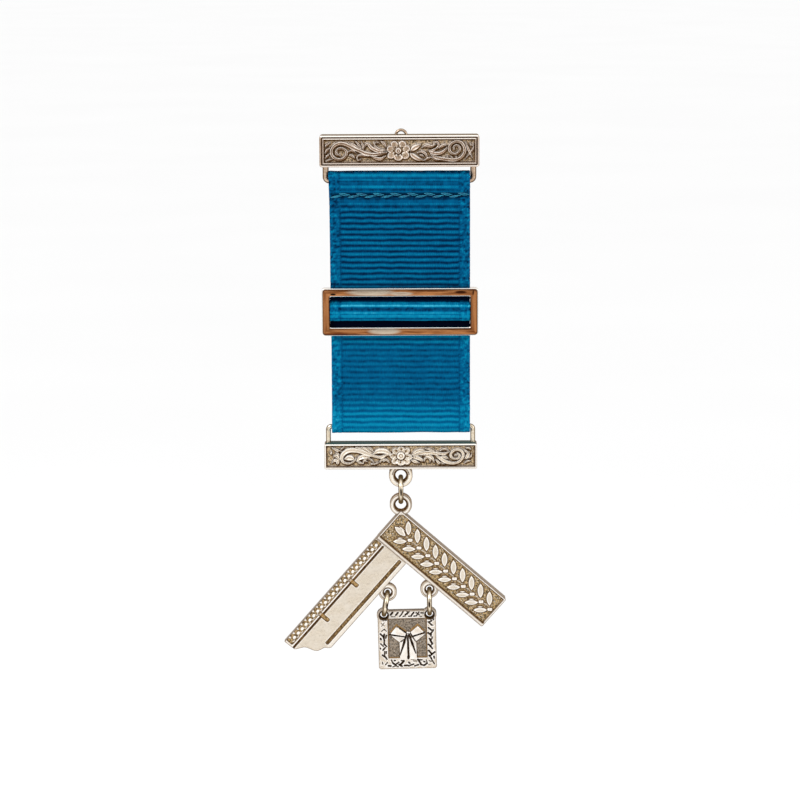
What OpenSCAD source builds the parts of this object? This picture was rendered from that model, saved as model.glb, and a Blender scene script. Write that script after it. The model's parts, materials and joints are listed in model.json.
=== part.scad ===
// Masonic breast jewel: a cast top bar with a pin, a ribbon doubled round two rods, a polished
// slide over the ribbon, a cast bottom bar, and a try square with a tablet on jump rings.
// Millimetres, +Z up, the front faces -Y, the origin is on the pin behind the top bar.

/* [Ribbon] */
// Width of the ribbon
ribbon_w = 31.7; // [29:0.1:35]
// Thickness of one layer of the ribbon
ribbon_t = 1; // [1:0.05:1.2]
// Extra thickness of the sewn fold over the top rod
fold_t = 0.5; // [0.2:0.05:0.7]
// Distance between the rods that the ribbon goes round
ribbon_drop = 56.4; // [50:0.1:66]
// Height of the sewn fold below the top rod
sewn_h = 4.4; // [4:0.1:6]

/* [Cast bars] */
// Depth of the bars from front to back
bar_d = 4.2; // [3.8:0.1:5]
// Gap between the pin's axis and the backs of the bars
back_gap = 1.8; // [1.5:0.1:2.4]
// Height of the top bar
top_h = 7.1; // [6.4:0.1:8]
// Height of the bottom bar
bottom_h = 5.85; // [5.2:0.05:6.6]
// Depth of the ground of the relief below the frame line
ground_d = 0.85; // [0.6:0.05:1.1]
// Height of the relief above its ground
relief_h = 0.65; // [0.4:0.05:0.8]
// Width of the top bar's outer border
border_w = 0.42; // [0.3:0.02:0.55]
// Width of the groove inside the top bar's border
groove_w = 0.3; // [0.2:0.02:0.4]
// Width of the frame line of the bars
frame_w = 0.4; // [0.3:0.02:0.5]

/* [Stirrups] */
// Diameter of the top bar's stirrup wire
top_wire = 1.26; // [1:0.02:1.4]
// Diameter of the bottom bar's stirrup wire
bottom_wire = 1.1; // [0.9:0.02:1.3]
// Diameter of the bottom bar's rod inside the fold
rod_wire = 0.84; // [0.7:0.02:0.9]
// From the top bar's lower edge to its rod's axis
top_leg = 3.12; // [2.8:0.02:3.8]
// From the bottom rod's axis to the bottom bar's upper edge
bottom_leg = 3.78; // [2.6:0.02:4.2]

/* [Slide] */
// Where the slide sits on the ribbon, as a share of the drop
slide_at = 0.5234; // [0.3:0.0001:0.75]
// Height of the slide
slide_h = 10.9; // [10:0.1:12.5]
// Height of a slide rail
slide_rail = 1.95; // [1.6:0.05:2.1]
// Width of a slide side
slide_side = 1.75; // [1.4:0.05:2.2]
// Thickness of the slide
slide_t = 1.6; // [1.3:0.05:2]

/* [Pin] */
// Radius of the pin wire
pin_r = 0.4; // [0.35:0.05:0.5]

/* [Rings] */
// Inner radius of the main jump ring
main_ring_r = 2.27; // [2.1:0.01:2.6]
// Wire of the main jump ring
main_wire = 1.15; // [0.9:0.05:1.2]
// Wire of the two small jump rings
small_wire = 1.1; // [0.8:0.05:1.2]
// From the square's inner loops down to the tablet's holes
ring_drop = 5.79; // [5.6:0.01:6.4]

/* [Square] */
// Slope of the square's right arm below the level, in degrees
slope = 41.1; // [38:0.1:46]
// Length of the right arm
right_l = 32.2; // [31.6:0.1:36]
// Width of the right arm
right_w = 8.6; // [8.4:0.1:9.2]
// Thickness of the right arm
right_t = 2.9; // [2.4:0.1:3.4]
// Length of the left arm
left_l = 41.3; // [40:0.1:46]
// Width of the left arm
left_w = 9.15; // [8.8:0.05:9.6]
// Thickness of the left arm
left_t = 1.9; // [1.6:0.1:2.2]

/* [Tablet] */
// Width of the tablet
tablet_w = 13.5; // [13:0.1:14.4]
// Height of the tablet
tablet_h = 14.3; // [13.4:0.1:15]
// Width of the tablet's border
tablet_border = 2.2; // [1.9:0.1:2.5]
// Thickness of the tablet and of the loops that its rings pass through
tablet_t = 1.6; // [1.3:0.05:1.8]
// Tilt of the tablet, right side up, in degrees
tablet_tilt = 1.2; // [0:0.1:2.5]

/* [Hidden] */

// Clearances
side_gap = 0.12;
rod_gap = 0.05;
ring_gap = 0.04;
pin_gap = 0.05;
// Depth by which a raised shape is rooted in the metal behind it
root = 0.2;

mid_y = -back_gap - bar_d / 2;
front_y = -back_gap - bar_d;
ground_y = front_y + ground_d;

top_leg_x = ribbon_w / 2 + side_gap + top_wire / 2;
bottom_leg_x = ribbon_w / 2 + side_gap + bottom_wire / 2;
top_over = 0.68;
bottom_over = 0.37;
top_w = 2 * (top_leg_x + top_wire / 2 + top_over);
bottom_w = 2 * (bottom_leg_x + bottom_wire / 2 + bottom_over);
bar_corner = 0.6;
// Where the pin's hinge block starts, and half the height of the block and the catch
block_x = top_w / 2 - 4.5;
block_r = pin_r + 0.6;

top_rod_z = -top_h / 2 - top_leg;
bottom_rod_z = top_rod_z - ribbon_drop;
bottom_top_z = bottom_rod_z - bottom_leg;
bottom_z = bottom_top_z - bottom_h / 2;
slide_z = top_rod_z - ribbon_drop * slide_at;

loop_in = 1.24;
loop_out = 2.7;
loop_t = 2;
loop_edge = 0.35;
bar_loop_z = bottom_z - bottom_h / 2 - 1.77;
// The ring bears on the edges of the flat part of each loop's wall
bear = sqrt(pow(main_ring_r, 2) - pow(loop_t / 2 - loop_edge, 2));
main_ring_z = bar_loop_z - loop_in + ring_gap - bear;
square_loop_z = main_ring_z - bear - ring_gap - loop_in;
square_loop_out = 2.55;
apex_z = square_loop_z - 1.31;

// Points and bands
function unit(v) = v / max(norm(v), 0.0001);
function mix4(a, b, c, d, t) =
    0.5 * (2 * b + (c - a) * t + (2 * a - 5 * b + 4 * c - d) * t * t
           + (3 * b - a - 3 * c + d) * t * t * t);
function curve(p, k) = concat(
    [for (i = [0 : len(p) - 2], j = [0 : k - 1])
        mix4(p[max(i - 1, 0)], p[i], p[i + 1], p[min(i + 2, len(p) - 1)], j / k)],
    [p[len(p) - 1]]);
function side(c, i) = let (a = c[max(i - 1, 0)], b = c[min(i + 1, len(c) - 1)],
    d = unit([b[0] - a[0], b[1] - a[1]])) [-d[1], d[0]];
function band(c) = concat(
    [for (i = [0 : len(c) - 1]) [c[i][0], c[i][1]] + side(c, i) * c[i][2]],
    [for (i = [len(c) - 1 : -1 : 0]) [c[i][0], c[i][1]] - side(c, i) * c[i][2]]);
function rounded(w, h, r, k = 4) = [for (q = [0 : 3], j = [0 : k])
    let (a = 90 * q + 90 * j / k,
         cx = (q == 0 || q == 3 ? 1 : -1) * (w / 2 - r), cy = (q < 2 ? 1 : -1) * (h / 2 - r))
    [cx + r * cos(a), cy + r * sin(a)]];
function oval(x, y, a, b, turn, k = 12) = [for (i = [0 : k - 1])
    let (u = a * cos(360 * i / k), v = b * sin(360 * i / k))
    [x + u * cos(turn) - v * sin(turn), y + u * sin(turn) + v * cos(turn)]];
function leaf(x, y, l, w, turn, k = 5) = let (n = 2 * k) [for (i = [0 : 2 * n - 1])
    let (s = i < n ? i / n : 2 - i / n, v = (i < n ? 1 : -1) * w / 2 * sin(180 * s),
         u = l * (s - 0.5))
    [x + u * cos(turn) - v * sin(turn), y + u * sin(turn) + v * cos(turn)]];

// A flat shape drawn in X and Z, from depth y_front back to y_back
module slab(y_front, y_back)
    translate([0, y_back, 0]) rotate([90, 0, 0]) linear_extrude(y_back - y_front) children();
module frame_line(w, h, inset, line) difference() {
    polygon(rounded(w - 2 * inset, h - 2 * inset, max(bar_corner - inset, 0.12)));
    polygon(rounded(w - 2 * (inset + line), h - 2 * (inset + line),
                    max(bar_corner - inset - line, 0.1)));
}

// A chamfered eye whose axis runs front to back
module eye(r_in, r_out, t, edge)
    rotate([90, 0, 0]) rotate_extrude($fn = 48)
        polygon([[r_in, edge - t / 2], [r_in + edge, -t / 2], [r_out - edge, -t / 2],
                 [r_out, edge - t / 2], [r_out, t / 2 - edge], [r_out - edge, t / 2],
                 [r_in + edge, t / 2], [r_in, t / 2 - edge]]);

// A wire ring in the plane of Y and Z, tilted about Y
module wire_ring(x, z, r_in, wire, tilt)
    translate([x, mid_y, z]) rotate([0, tilt, 0]) rotate([0, 90, 0])
        rotate_extrude($fn = 64) translate([r_in + wire / 2, 0]) circle(d = wire, $fn = 32);

// Two legs and the rod between them; the legs leave the bar upwards or downwards
module stirrup(leg_x, wire, rod, bar_z, rod_z, bend) {
    up = rod_z > bar_z ? 1 : -1;
    leg = abs(rod_z - bar_z) - bend;
    for (s = [-1, 1]) {
        translate([s * leg_x, mid_y, up > 0 ? bar_z : bar_z - leg])
            cylinder(d = wire, h = leg, $fn = 32);
        translate([s * (leg_x - bend), mid_y, rod_z - up * bend])
            mirror([s < 0 ? 1 : 0, 0, 0]) rotate([90 * up, 0, 0])
                rotate_extrude(angle = 90, $fn = 48) translate([bend, 0]) circle(d = wire, $fn = 32);
    }
    translate([-leg_x + bend, mid_y, rod_z]) rotate([0, 90, 0])
        cylinder(d = rod, h = 2 * (leg_x - bend), $fn = 32);
}

// Scrolls of the top bar: along, up and half thickness, as shares of the sunk field's half
// width, half height and half height
ALONG = 0;
UP = 1;
THICK = 2;
top_scrolls = [
    // left volute with its stem from the flower
    [[-0.14, -0.17, 0.05], [-0.24, -0.24, 0.11], [-0.36, -0.26, 0.14], [-0.46, -0.03, 0.15],
     [-0.55, 0.36, 0.13], [-0.64, 0.64, 0.12], [-0.73, 0.76, 0.11], [-0.82, 0.5, 0.1],
     [-0.865, 0.02, 0.1], [-0.835, -0.5, 0.1], [-0.755, -0.7, 0.1], [-0.675, -0.44, 0.09],
     [-0.665, 0.02, 0.08], [-0.71, 0.3, 0.06]],
    [[-0.79, 0.18, 0.04], [-0.8, -0.14, 0.07], [-0.755, -0.38, 0.08], [-0.7, -0.3, 0.03]],
    // leaves between the left volute and the flower
    [[-0.49, 0.1, 0.05], [-0.52, 0.6, 0.1], [-0.6, 0.84, 0.03]],
    [[-0.44, 0.8, 0.04], [-0.425, 0.4, 0.09], [-0.47, -0.16, 0.04]],
    [[-0.46, 0.74, 0.03], [-0.39, 0.66, 0.1], [-0.335, 0.34, 0.05]],
    [[-0.31, 0.66, 0.04], [-0.27, 0.26, 0.13], [-0.16, -0.02, 0.05]],
    [[-0.6, 0.0, 0.04], [-0.585, -0.5, 0.08], [-0.53, -0.8, 0.09], [-0.475, -0.56, 0.07],
     [-0.51, -0.34, 0.04]],
    [[-0.47, -0.42, 0.04], [-0.37, -0.5, 0.09], [-0.31, -0.74, 0.1], [-0.22, -0.7, 0.09],
     [-0.15, -0.44, 0.04]],
    // left end tuft
    [[-0.93, 0.56, 0.03], [-0.9, -0.02, 0.08], [-0.95, -0.6, 0.03]],
    [[-0.87, -0.2, 0.03], [-0.93, -0.3, 0.06], [-0.965, -0.7, 0.03]],
    [[-0.9, 0.4, 0.03], [-0.94, 0.2, 0.07], [-0.955, -0.1, 0.03]],
    // right volute with its stem along the lower edge
    [[0.38, 0.0, 0.05], [0.46, -0.4, 0.11], [0.57, -0.68, 0.13], [0.69, -0.82, 0.12],
     [0.795, -0.58, 0.11], [0.855, 0.02, 0.11], [0.835, 0.6, 0.1], [0.76, 0.88, 0.1],
     [0.68, 0.74, 0.1], [0.646, 0.28, 0.09], [0.68, -0.1, 0.08], [0.745, -0.16, 0.07],
     [0.785, 0.14, 0.06], [0.755, 0.44, 0.05]],
    // leaves between the flower and the right volute
    [[0.16, 0.02, 0.04], [0.225, 0.34, 0.14], [0.29, 0.5, 0.04]],
    [[0.16, -0.42, 0.04], [0.24, -0.66, 0.1], [0.32, -0.74, 0.04]],
    [[0.17, -0.14, 0.04], [0.24, -0.22, 0.08], [0.31, -0.48, 0.04]],
    [[0.28, 0.44, 0.04], [0.37, 0.46, 0.1], [0.45, 0.5, 0.08], [0.492, 0.72, 0.05],
     [0.465, 0.88, 0.03]],
    [[0.4, 0.02, 0.04], [0.5, 0.08, 0.09], [0.57, 0.34, 0.1], [0.615, 0.58, 0.03]],
    [[0.34, -0.5, 0.04], [0.375, -0.72, 0.09], [0.41, -0.44, 0.04]],
    // right end leaf, crossed
    [[0.84, 0.74, 0.03], [0.9, 0.2, 0.08], [0.94, -0.58, 0.03]],
    [[0.95, 0.4, 0.03], [0.905, -0.2, 0.07], [0.85, -0.64, 0.03]]];

// Petals of a flower: along and up as shares of its half height, length, width and turn
top_petals = [
    [-0.56, 0.52, 1.02, 0.8, 128], [0.56, 0.52, 1.02, 0.8, 52], [-0.72, -0.22, 0.98, 0.74, 190],
    [0.72, -0.22, 0.98, 0.74, -10], [0, -0.58, 0.9, 0.8, -90]];

// Scrolls of the bottom bar, in the same shares
bottom_scrolls = [
    // left volute
    [[-0.12, 0.06, 0.04], [-0.23, -0.18, 0.09], [-0.34, -0.12, 0.11], [-0.45, 0.12, 0.12],
     [-0.56, 0.5, 0.13], [-0.68, 0.66, 0.13], [-0.79, 0.46, 0.12], [-0.835, -0.06, 0.12],
     [-0.795, -0.52, 0.11], [-0.72, -0.7, 0.1], [-0.65, -0.48, 0.08], [-0.63, -0.16, 0.04]],
    // leaves between the left volute and the flower
    [[-0.4, 0.12, 0.04], [-0.49, 0.62, 0.1], [-0.59, 0.84, 0.04]],
    [[-0.38, 0.2, 0.04], [-0.43, 0.66, 0.08], [-0.51, 0.92, 0.03]],
    [[-0.13, 0.2, 0.04], [-0.22, 0.54, 0.13], [-0.33, 0.52, 0.1], [-0.38, 0.3, 0.03]],
    [[-0.57, -0.02, 0.04], [-0.5, -0.06, 0.1], [-0.42, -0.14, 0.04]],
    [[-0.6, -0.28, 0.04], [-0.52, -0.5, 0.08], [-0.42, -0.46, 0.08], [-0.35, -0.68, 0.04]],
    [[-0.15, -0.1, 0.03], [-0.24, -0.44, 0.09], [-0.3, -0.62, 0.04]],
    // left end tuft
    [[-0.86, 0.6, 0.03], [-0.92, 0.3, 0.08], [-0.955, 0.62, 0.03]],
    [[-0.88, 0.1, 0.04], [-0.92, -0.3, 0.1], [-0.95, -0.7, 0.03]],
    [[-0.87, -0.3, 0.03], [-0.87, -0.56, 0.09], [-0.84, -0.82, 0.04]],
    // right volute
    [[0.16, 0.18, 0.04], [0.27, 0.46, 0.11], [0.4, 0.4, 0.13], [0.51, 0.14, 0.13],
     [0.6, -0.32, 0.12], [0.69, -0.66, 0.1], [0.78, -0.66, 0.1], [0.855, -0.36, 0.1],
     [0.865, 0.16, 0.1], [0.82, 0.5, 0.1], [0.75, 0.54, 0.09], [0.7, 0.3, 0.09],
     [0.71, -0.08, 0.08], [0.77, -0.16, 0.07], [0.795, 0.1, 0.05]],
    // leaves between the flower and the right volute
    [[0.16, 0.14, 0.03], [0.22, 0.12, 0.08], [0.3, -0.24, 0.04]],
    [[0.17, -0.1, 0.04], [0.22, -0.34, 0.12], [0.3, -0.44, 0.04]],
    [[0.3, 0.12, 0.04], [0.39, 0.0, 0.1], [0.42, -0.46, 0.04]],
    [[0.35, 0.6, 0.04], [0.44, 0.52, 0.08], [0.52, 0.3, 0.04]],
    [[0.52, 0.5, 0.03], [0.58, 0.34, 0.08], [0.66, 0.3, 0.03]],
    [[0.36, -0.4, 0.03], [0.4, -0.76, 0.08], [0.5, -0.6, 0.04]],
    // right end tuft
    [[0.89, 0.58, 0.03], [0.93, 0.3, 0.08], [0.965, 0.5, 0.03]],
    [[0.89, 0.0, 0.03], [0.93, -0.1, 0.09], [0.96, 0.1, 0.03]],
    [[0.88, -0.6, 0.03], [0.92, -0.4, 0.08], [0.96, -0.68, 0.03]]];
bottom_petals = [
    [-0.54, 0.46, 0.98, 0.78, 135], [0.54, 0.46, 0.98, 0.78, 45], [-0.7, -0.3, 0.92, 0.72, 200],
    [0.7, -0.3, 0.92, 0.72, -20], [0, -0.56, 0.84, 0.8, -90]];

module scrolls(table, hw, hh)
    for (s = table)
        polygon(band(curve([for (p = s) [p[ALONG] * hw, p[UP] * hh, p[THICK] * hh]],
                           len(s) > 5 ? 3 : 4)));

module flower(petals, x, z, r) {
    for (p = petals)
        polygon(oval(x + p[0] * r, z + p[1] * r, p[2] * r * 0.62, p[3] * r * 0.6, p[4], 14));
    polygon(oval(x, z, r * 0.42, r * 0.42, 0, 14));
}

// 1 Top bar with stirrup, small loop, and the pin's hinge and catch
module top_bar() color([0.8, 0.68, 0.52]) {
    field_w = top_w - 2 * (border_w + groove_w + frame_w);
    field_h = top_h - 2 * (border_w + groove_w + frame_w);
    slab(ground_y, -back_gap) polygon(rounded(top_w, top_h, bar_corner));
    slab(front_y + 0.25, ground_y + root) frame_line(top_w, top_h, 0, border_w);
    slab(front_y, ground_y + root) frame_line(top_w, top_h, border_w + groove_w, frame_w);
    slab(ground_y - relief_h, ground_y + root) {
        scrolls(top_scrolls, field_w / 2, field_h / 2);
        flower(top_petals, 0, 0, field_h / 2 * 0.86);
    }
    stirrup(top_leg_x, top_wire, top_wire, -top_h / 2 + root, top_rod_z, 0.8);
    // small half loop on the upper edge
    translate([0.4, mid_y, top_h / 2 - 0.1]) rotate([90, 0, 0])
        rotate_extrude(angle = 180, $fn = 48) translate([1.15, 0]) circle(d = 0.64, $fn = 24);
    // hinge block with the pin's hole
    difference() {
        translate([block_x, -back_gap - root, -block_r]) cube([2, back_gap + root + block_r, 2 * block_r]);
        translate([block_x - 0.5, 0, 0]) rotate([0, 90, 0])
            cylinder(r = pin_r + pin_gap, h = 3, $fn = 32);
    }
    // catch, open at the bottom
    difference() {
        translate([-block_x - 2, -back_gap - root, -block_r])
            cube([1.8, back_gap + root + block_r, 2 * block_r]);
        translate([-block_x - 2.5, -pin_r - pin_gap, -2])
            cube([3, 2 * (pin_r + pin_gap), 2 + pin_r + pin_gap]);
    }
}

// 2 Pin wire behind the top bar
module brooch_pin() color([0.75, 0.72, 0.66]) translate([-block_x - 1.8, 0, 0]) {
    rotate([0, 90, 0]) cylinder(r = pin_r, h = 2 * block_x + 3.4, $fn = 32);
    rotate([0, -90, 0]) cylinder(r1 = pin_r, r2 = pin_r / 4, h = 4 * pin_r, $fn = 32);
}

// 3 Ribbon: one band round both rods, its front layer over the slide's middle bar.
// The section is a path of points, each with the way to its outer face and its thickness.
top_in = top_wire / 2 + rod_gap;
bottom_in = rod_wire / 2 + 0.03;
front_top = top_in + (ribbon_t + fold_t) / 2;
front_bottom = bottom_in + ribbon_t / 2;
weave_r = 0.75 * ribbon_t;
weave_f = 1.2 * ribbon_t;
weave_z = slide_h / 2 - slide_rail - ribbon_t;
function turn(f, z, r, a, b, k, inward, t) = [for (i = [0 : k])
    let (w = a + (b - a) * i / k) [f + r * cos(w), z + r * sin(w),
                                   inward * cos(w), inward * sin(w), t]];
ribbon_path = concat(
    turn(0, top_rod_z, front_top, 180, 0, 16, 1, ribbon_t + fold_t),
    [[front_top - 0.06, top_rod_z - sewn_h, 1, 0, ribbon_t + fold_t * 0.7]],
    [[weave_f + 0.05, top_rod_z - 0.212 * ribbon_drop, 1, 0, ribbon_t]],
    turn(weave_f + weave_r, slide_z + weave_z, weave_r, 180, 270, 6, -1, ribbon_t),
    turn(weave_f + weave_r, slide_z + weave_z - 2 * weave_r, weave_r, 90, 0, 6, 1, ribbon_t),
    turn(weave_f + weave_r, slide_z - weave_z + 2 * weave_r, weave_r, 0, -90, 6, 1, ribbon_t),
    turn(weave_f + weave_r, slide_z - weave_z, weave_r, 90, 180, 6, -1, ribbon_t),
    turn(0, bottom_rod_z, front_bottom, 0, -180, 12, 1, ribbon_t),
    [[-front_bottom - 0.2, top_rod_z - 0.212 * ribbon_drop, -1, 0, ribbon_t]],
    [[-front_top + 0.06, top_rod_z - sewn_h, -1, 0, ribbon_t + fold_t * 0.7]]);
module ribbon() color([0.02, 0.36, 0.58])
    translate([-ribbon_w / 2, mid_y, 0]) rotate([90, 0, 90]) linear_extrude(ribbon_w)
        difference() {
            polygon([for (p = ribbon_path) [-p[0] - p[2] * p[4] / 2, p[1] + p[3] * p[4] / 2]]);
            polygon([for (p = ribbon_path) [-p[0] + p[2] * p[4] / 2, p[1] - p[3] * p[4] / 2]]);
        }

// 4 Slide: a flat frame and the middle bar that the ribbon hides
slide_w = ribbon_w + 2 * side_gap + 2 * slide_side;
slide_back = mid_y - weave_f - ribbon_t / 2 - rod_gap;
slide_front = slide_back - slide_t;
middle_front = mid_y - weave_f - 2 * weave_r + ribbon_t / 2 + rod_gap;
middle_h = weave_z - 2 * weave_r + 0.05;
module ribbon_slide() color([0.72, 0.46, 0.26]) translate([0, 0, slide_z]) {
    slab(slide_front, slide_back) difference() {
        polygon(rounded(slide_w, slide_h, 0.7));
        polygon(rounded(ribbon_w + 2 * side_gap, slide_h - 2 * slide_rail, 0.35));
    }
    slab(middle_front, middle_front + 0.625 * slide_t)
        translate([-slide_w / 2 + slide_side / 3, -middle_h])
            square([slide_w - slide_side / 1.5, 2 * middle_h]);
}

// 5 Bottom bar with stirrup and the flared loop below it
module bottom_bar() color([0.86, 0.76, 0.58]) {
    field_w = bottom_w - 2 * frame_w;
    field_h = bottom_h - 2 * frame_w;
    translate([0, 0, bottom_z]) {
        slab(ground_y, -back_gap) polygon(rounded(bottom_w, bottom_h, bar_corner * 0.7));
        slab(front_y, ground_y + root) difference() {
            polygon(rounded(bottom_w, bottom_h, bar_corner * 0.7));
            polygon(rounded(field_w, field_h, 0.15));
        }
        slab(ground_y - relief_h, ground_y + root) {
            scrolls(bottom_scrolls, field_w / 2, field_h / 2);
            flower(bottom_petals, 0.2, 0, field_h / 2 * 0.84);
        }
    }
    stirrup(bottom_leg_x, bottom_wire, rod_wire, bottom_top_z - root, bottom_rod_z, 0.65);
    translate([0, mid_y, bar_loop_z]) eye(loop_in, loop_out, loop_t, loop_edge);
    slab(mid_y - 0.75, mid_y + 0.75) difference() {
        polygon([[-loop_out, bottom_z - bottom_h / 2 + root],
                 [loop_out, bottom_z - bottom_h / 2 + root],
                 [loop_out * 0.94, bar_loop_z], [-loop_out * 0.94, bar_loop_z]]);
        translate([0, bar_loop_z]) circle(r = (loop_in + loop_out) / 2, $fn = 48);
    }
}

// 6 Main jump ring, edge-on to the front
module main_jump_ring() color([0.84, 0.72, 0.5])
    wire_ring(0, main_ring_z, main_ring_r, main_wire, 0);

// 7 Square. Its arms are drawn along the right arm and along the left arm, from the outer corner.
panel_edge = 0.42;
panel_inner = 0.85;
panel_sunk = 0.6;
blade_sunk = 0.35;
leaf_step = (right_l - 4.3) / 10;
module arms() translate([0, 0, apex_z]) rotate([0, slope, 0]) children();
module arm_points(t) polygon([for (p = t) [p[0], -p[1]]]);
module arm_box(p0, q0, p1, q1) arm_points([[p0, q0], [p1, q0], [p1, q1], [p0, q1]]);
// along the left arm's end: across as a share of the arm's width, and length short of the end
left_end = [[1, 6.1], [0.98, 5.75], [0.93, 5.3], [0.89, 5.15], [0.86, 4.75], [0.835, 4.1], [0.8, 3.4],
            [0.72, 2.85], [0.62, 2.55], [0.53, 2.3], [0.465, 1.9], [0.41, 1.2], [0.36, 0.5],
            [0.31, 0.05], [0, 0]];
module left_outline() arm_points(concat([[0, 0.4], [0, 3], [left_w, 3]],
    [for (e = left_end) [e[0] * left_w, left_l - e[1]]]));
right_y = mid_y - right_t / 2;
left_y = mid_y - left_t / 2;
left_loop = [left_w + 1.29, 0.4053 * left_l];
right_loop = [0.5357 * right_l, right_w + 1.27];
small_in = 0.83;
small_out = 2.1;
module square_body() color([0.87, 0.8, 0.66]) {
    arms() {
        // right arm: ground, rim and laurel
        slab(right_y + panel_sunk, right_y + right_t) difference() {
            arm_points([[0.3, 0], [right_l - 0.3, 0], [right_l, 0.3], [right_l, right_w - 0.4],
                        [right_l - 0.4, right_w], [0, right_w], [0, 0.3]]);
            circle(r = 0.3, $fn = 24);
        }
        slab(right_y, right_y + panel_sunk + root) difference() {
            arm_points([[0.3, 0], [right_l - 0.3, 0], [right_l, 0.3], [right_l, right_w - 0.4],
                        [right_l - 0.4, right_w], [0, right_w], [0, 0.3]]);
            arm_box(panel_edge, panel_edge, right_l - panel_edge, right_w - panel_inner);
        }
        slab(right_y + 0.12, right_y + panel_sunk + root) laurel();
        // left arm with its sunk band and grooves
        difference() {
            slab(left_y, left_y + left_t) difference() {
                left_outline();
                arm_box(-1, -1, left_w + 3, right_w - 0.3);
            }
            slab(left_y - 1, left_y + blade_sunk) {
                arm_box(0.35, right_w + 0.35, 1.9, left_l - 0.5);
                arm_box(2.3, right_w + 0.45, 2.75, left_l + 1);
                arm_box(left_w - 1.85, right_w + 0.5, left_w - 1, left_l - 5.9);
                arm_box(1.7, 0.7385 * left_l, 4.2, 0.7385 * left_l + 0.55);
                arm_box(1.7, 0.4806 * left_l, 3.95, 0.4806 * left_l + 0.55);
            }
        }
        // studs and notches of the band
        slab(left_y + 0.1, left_y + blade_sunk + root)
            for (i = [0 : 22]) {
                q = right_w + 1.4 + 1.385 * i;
                if (q < left_l - 0.9) {
                    arm_points(oval(0.9, q, 0.3, 0.36, 0, 8));
                    arm_points([[1.3, q + 0.7], [1.95, q + 0.2], [1.95, q + 1.2]]);
                }
            }
        // loops on the inner edges
        for (l = [left_loop, right_loop])
            translate([l[0], mid_y, -l[1]]) eye(small_in, small_out, tablet_t, 0.25);
    }
    // loop on the outer corner
    translate([0, mid_y, square_loop_z]) eye(loop_in, square_loop_out, loop_t, loop_edge);
}
module laurel() {
    up = 90 - slope;
    for (i = [0 : 9]) {
        arm_leaf(4.05 + leaf_step * i, 2.05 + 0.04 * i, 3.5, 1.4, -up);
        arm_leaf(4.6 + leaf_step * 0.985 * i, 5.7 + 0.02 * i, 3.25, 1.2, slope);
        arm_points(oval(6.2 + leaf_step * 0.985 * i, 3.95 + 0.04 * i, 0.42, 0.42, 0, 8));
    }
    arm_leaf(3.1, 3.85, 3.4, 1.35, slope - 41);
    arm_box(4.4, 3.85, right_l - 1.5, 4.15);
}
// a leaf whose length lies at an angle to the right arm
module arm_leaf(p, q, l, w, a) arm_points([for (v = leaf(0, 0, l, w, -a)) [p + v[0], q + v[1]]]);
module square_jewel() difference() {
    square_body();
    // the holes stay open where an arm and a loop meet
    translate([0, mid_y + 3, square_loop_z]) rotate([90, 0, 0]) cylinder(r = loop_in, h = 6, $fn = 48);
}

// 8 and 9 Small jump rings, from the square's inner loops to the tablet's holes
hole_x = tablet_w / 2 - 1.44;
hole_z = tablet_h / 2 - 1.24;
tablet_c = (arm_place(left_loop) + arm_place(right_loop)) / 2 - [0.345, ring_drop + hole_z];
function arm_place(l) = [l[0] * cos(slope) - l[1] * sin(slope),
                         apex_z - l[0] * sin(slope) - l[1] * cos(slope)];
function tablet_place(x, z) = tablet_c + [x * cos(tablet_tilt) - z * sin(tablet_tilt),
                                          x * sin(tablet_tilt) + z * cos(tablet_tilt)];
module hung_ring(a, b) {
    d = unit(b - a);
    half = norm(b - a) / 2 - small_in + ring_gap;
    c = (a + b) / 2;
    wire_ring(c[0], c[1], sqrt(half * half + pow(tablet_t / 2 - 0.25, 2)), small_wire,
              atan2(-d[0], -d[1]));
}
module left_jump_ring() color([0.84, 0.72, 0.5])
    hung_ring(arm_place(left_loop), tablet_place(-hole_x, hole_z));
module right_jump_ring() color([0.84, 0.72, 0.5])
    hung_ring(arm_place(right_loop), tablet_place(hole_x, hole_z));

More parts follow.
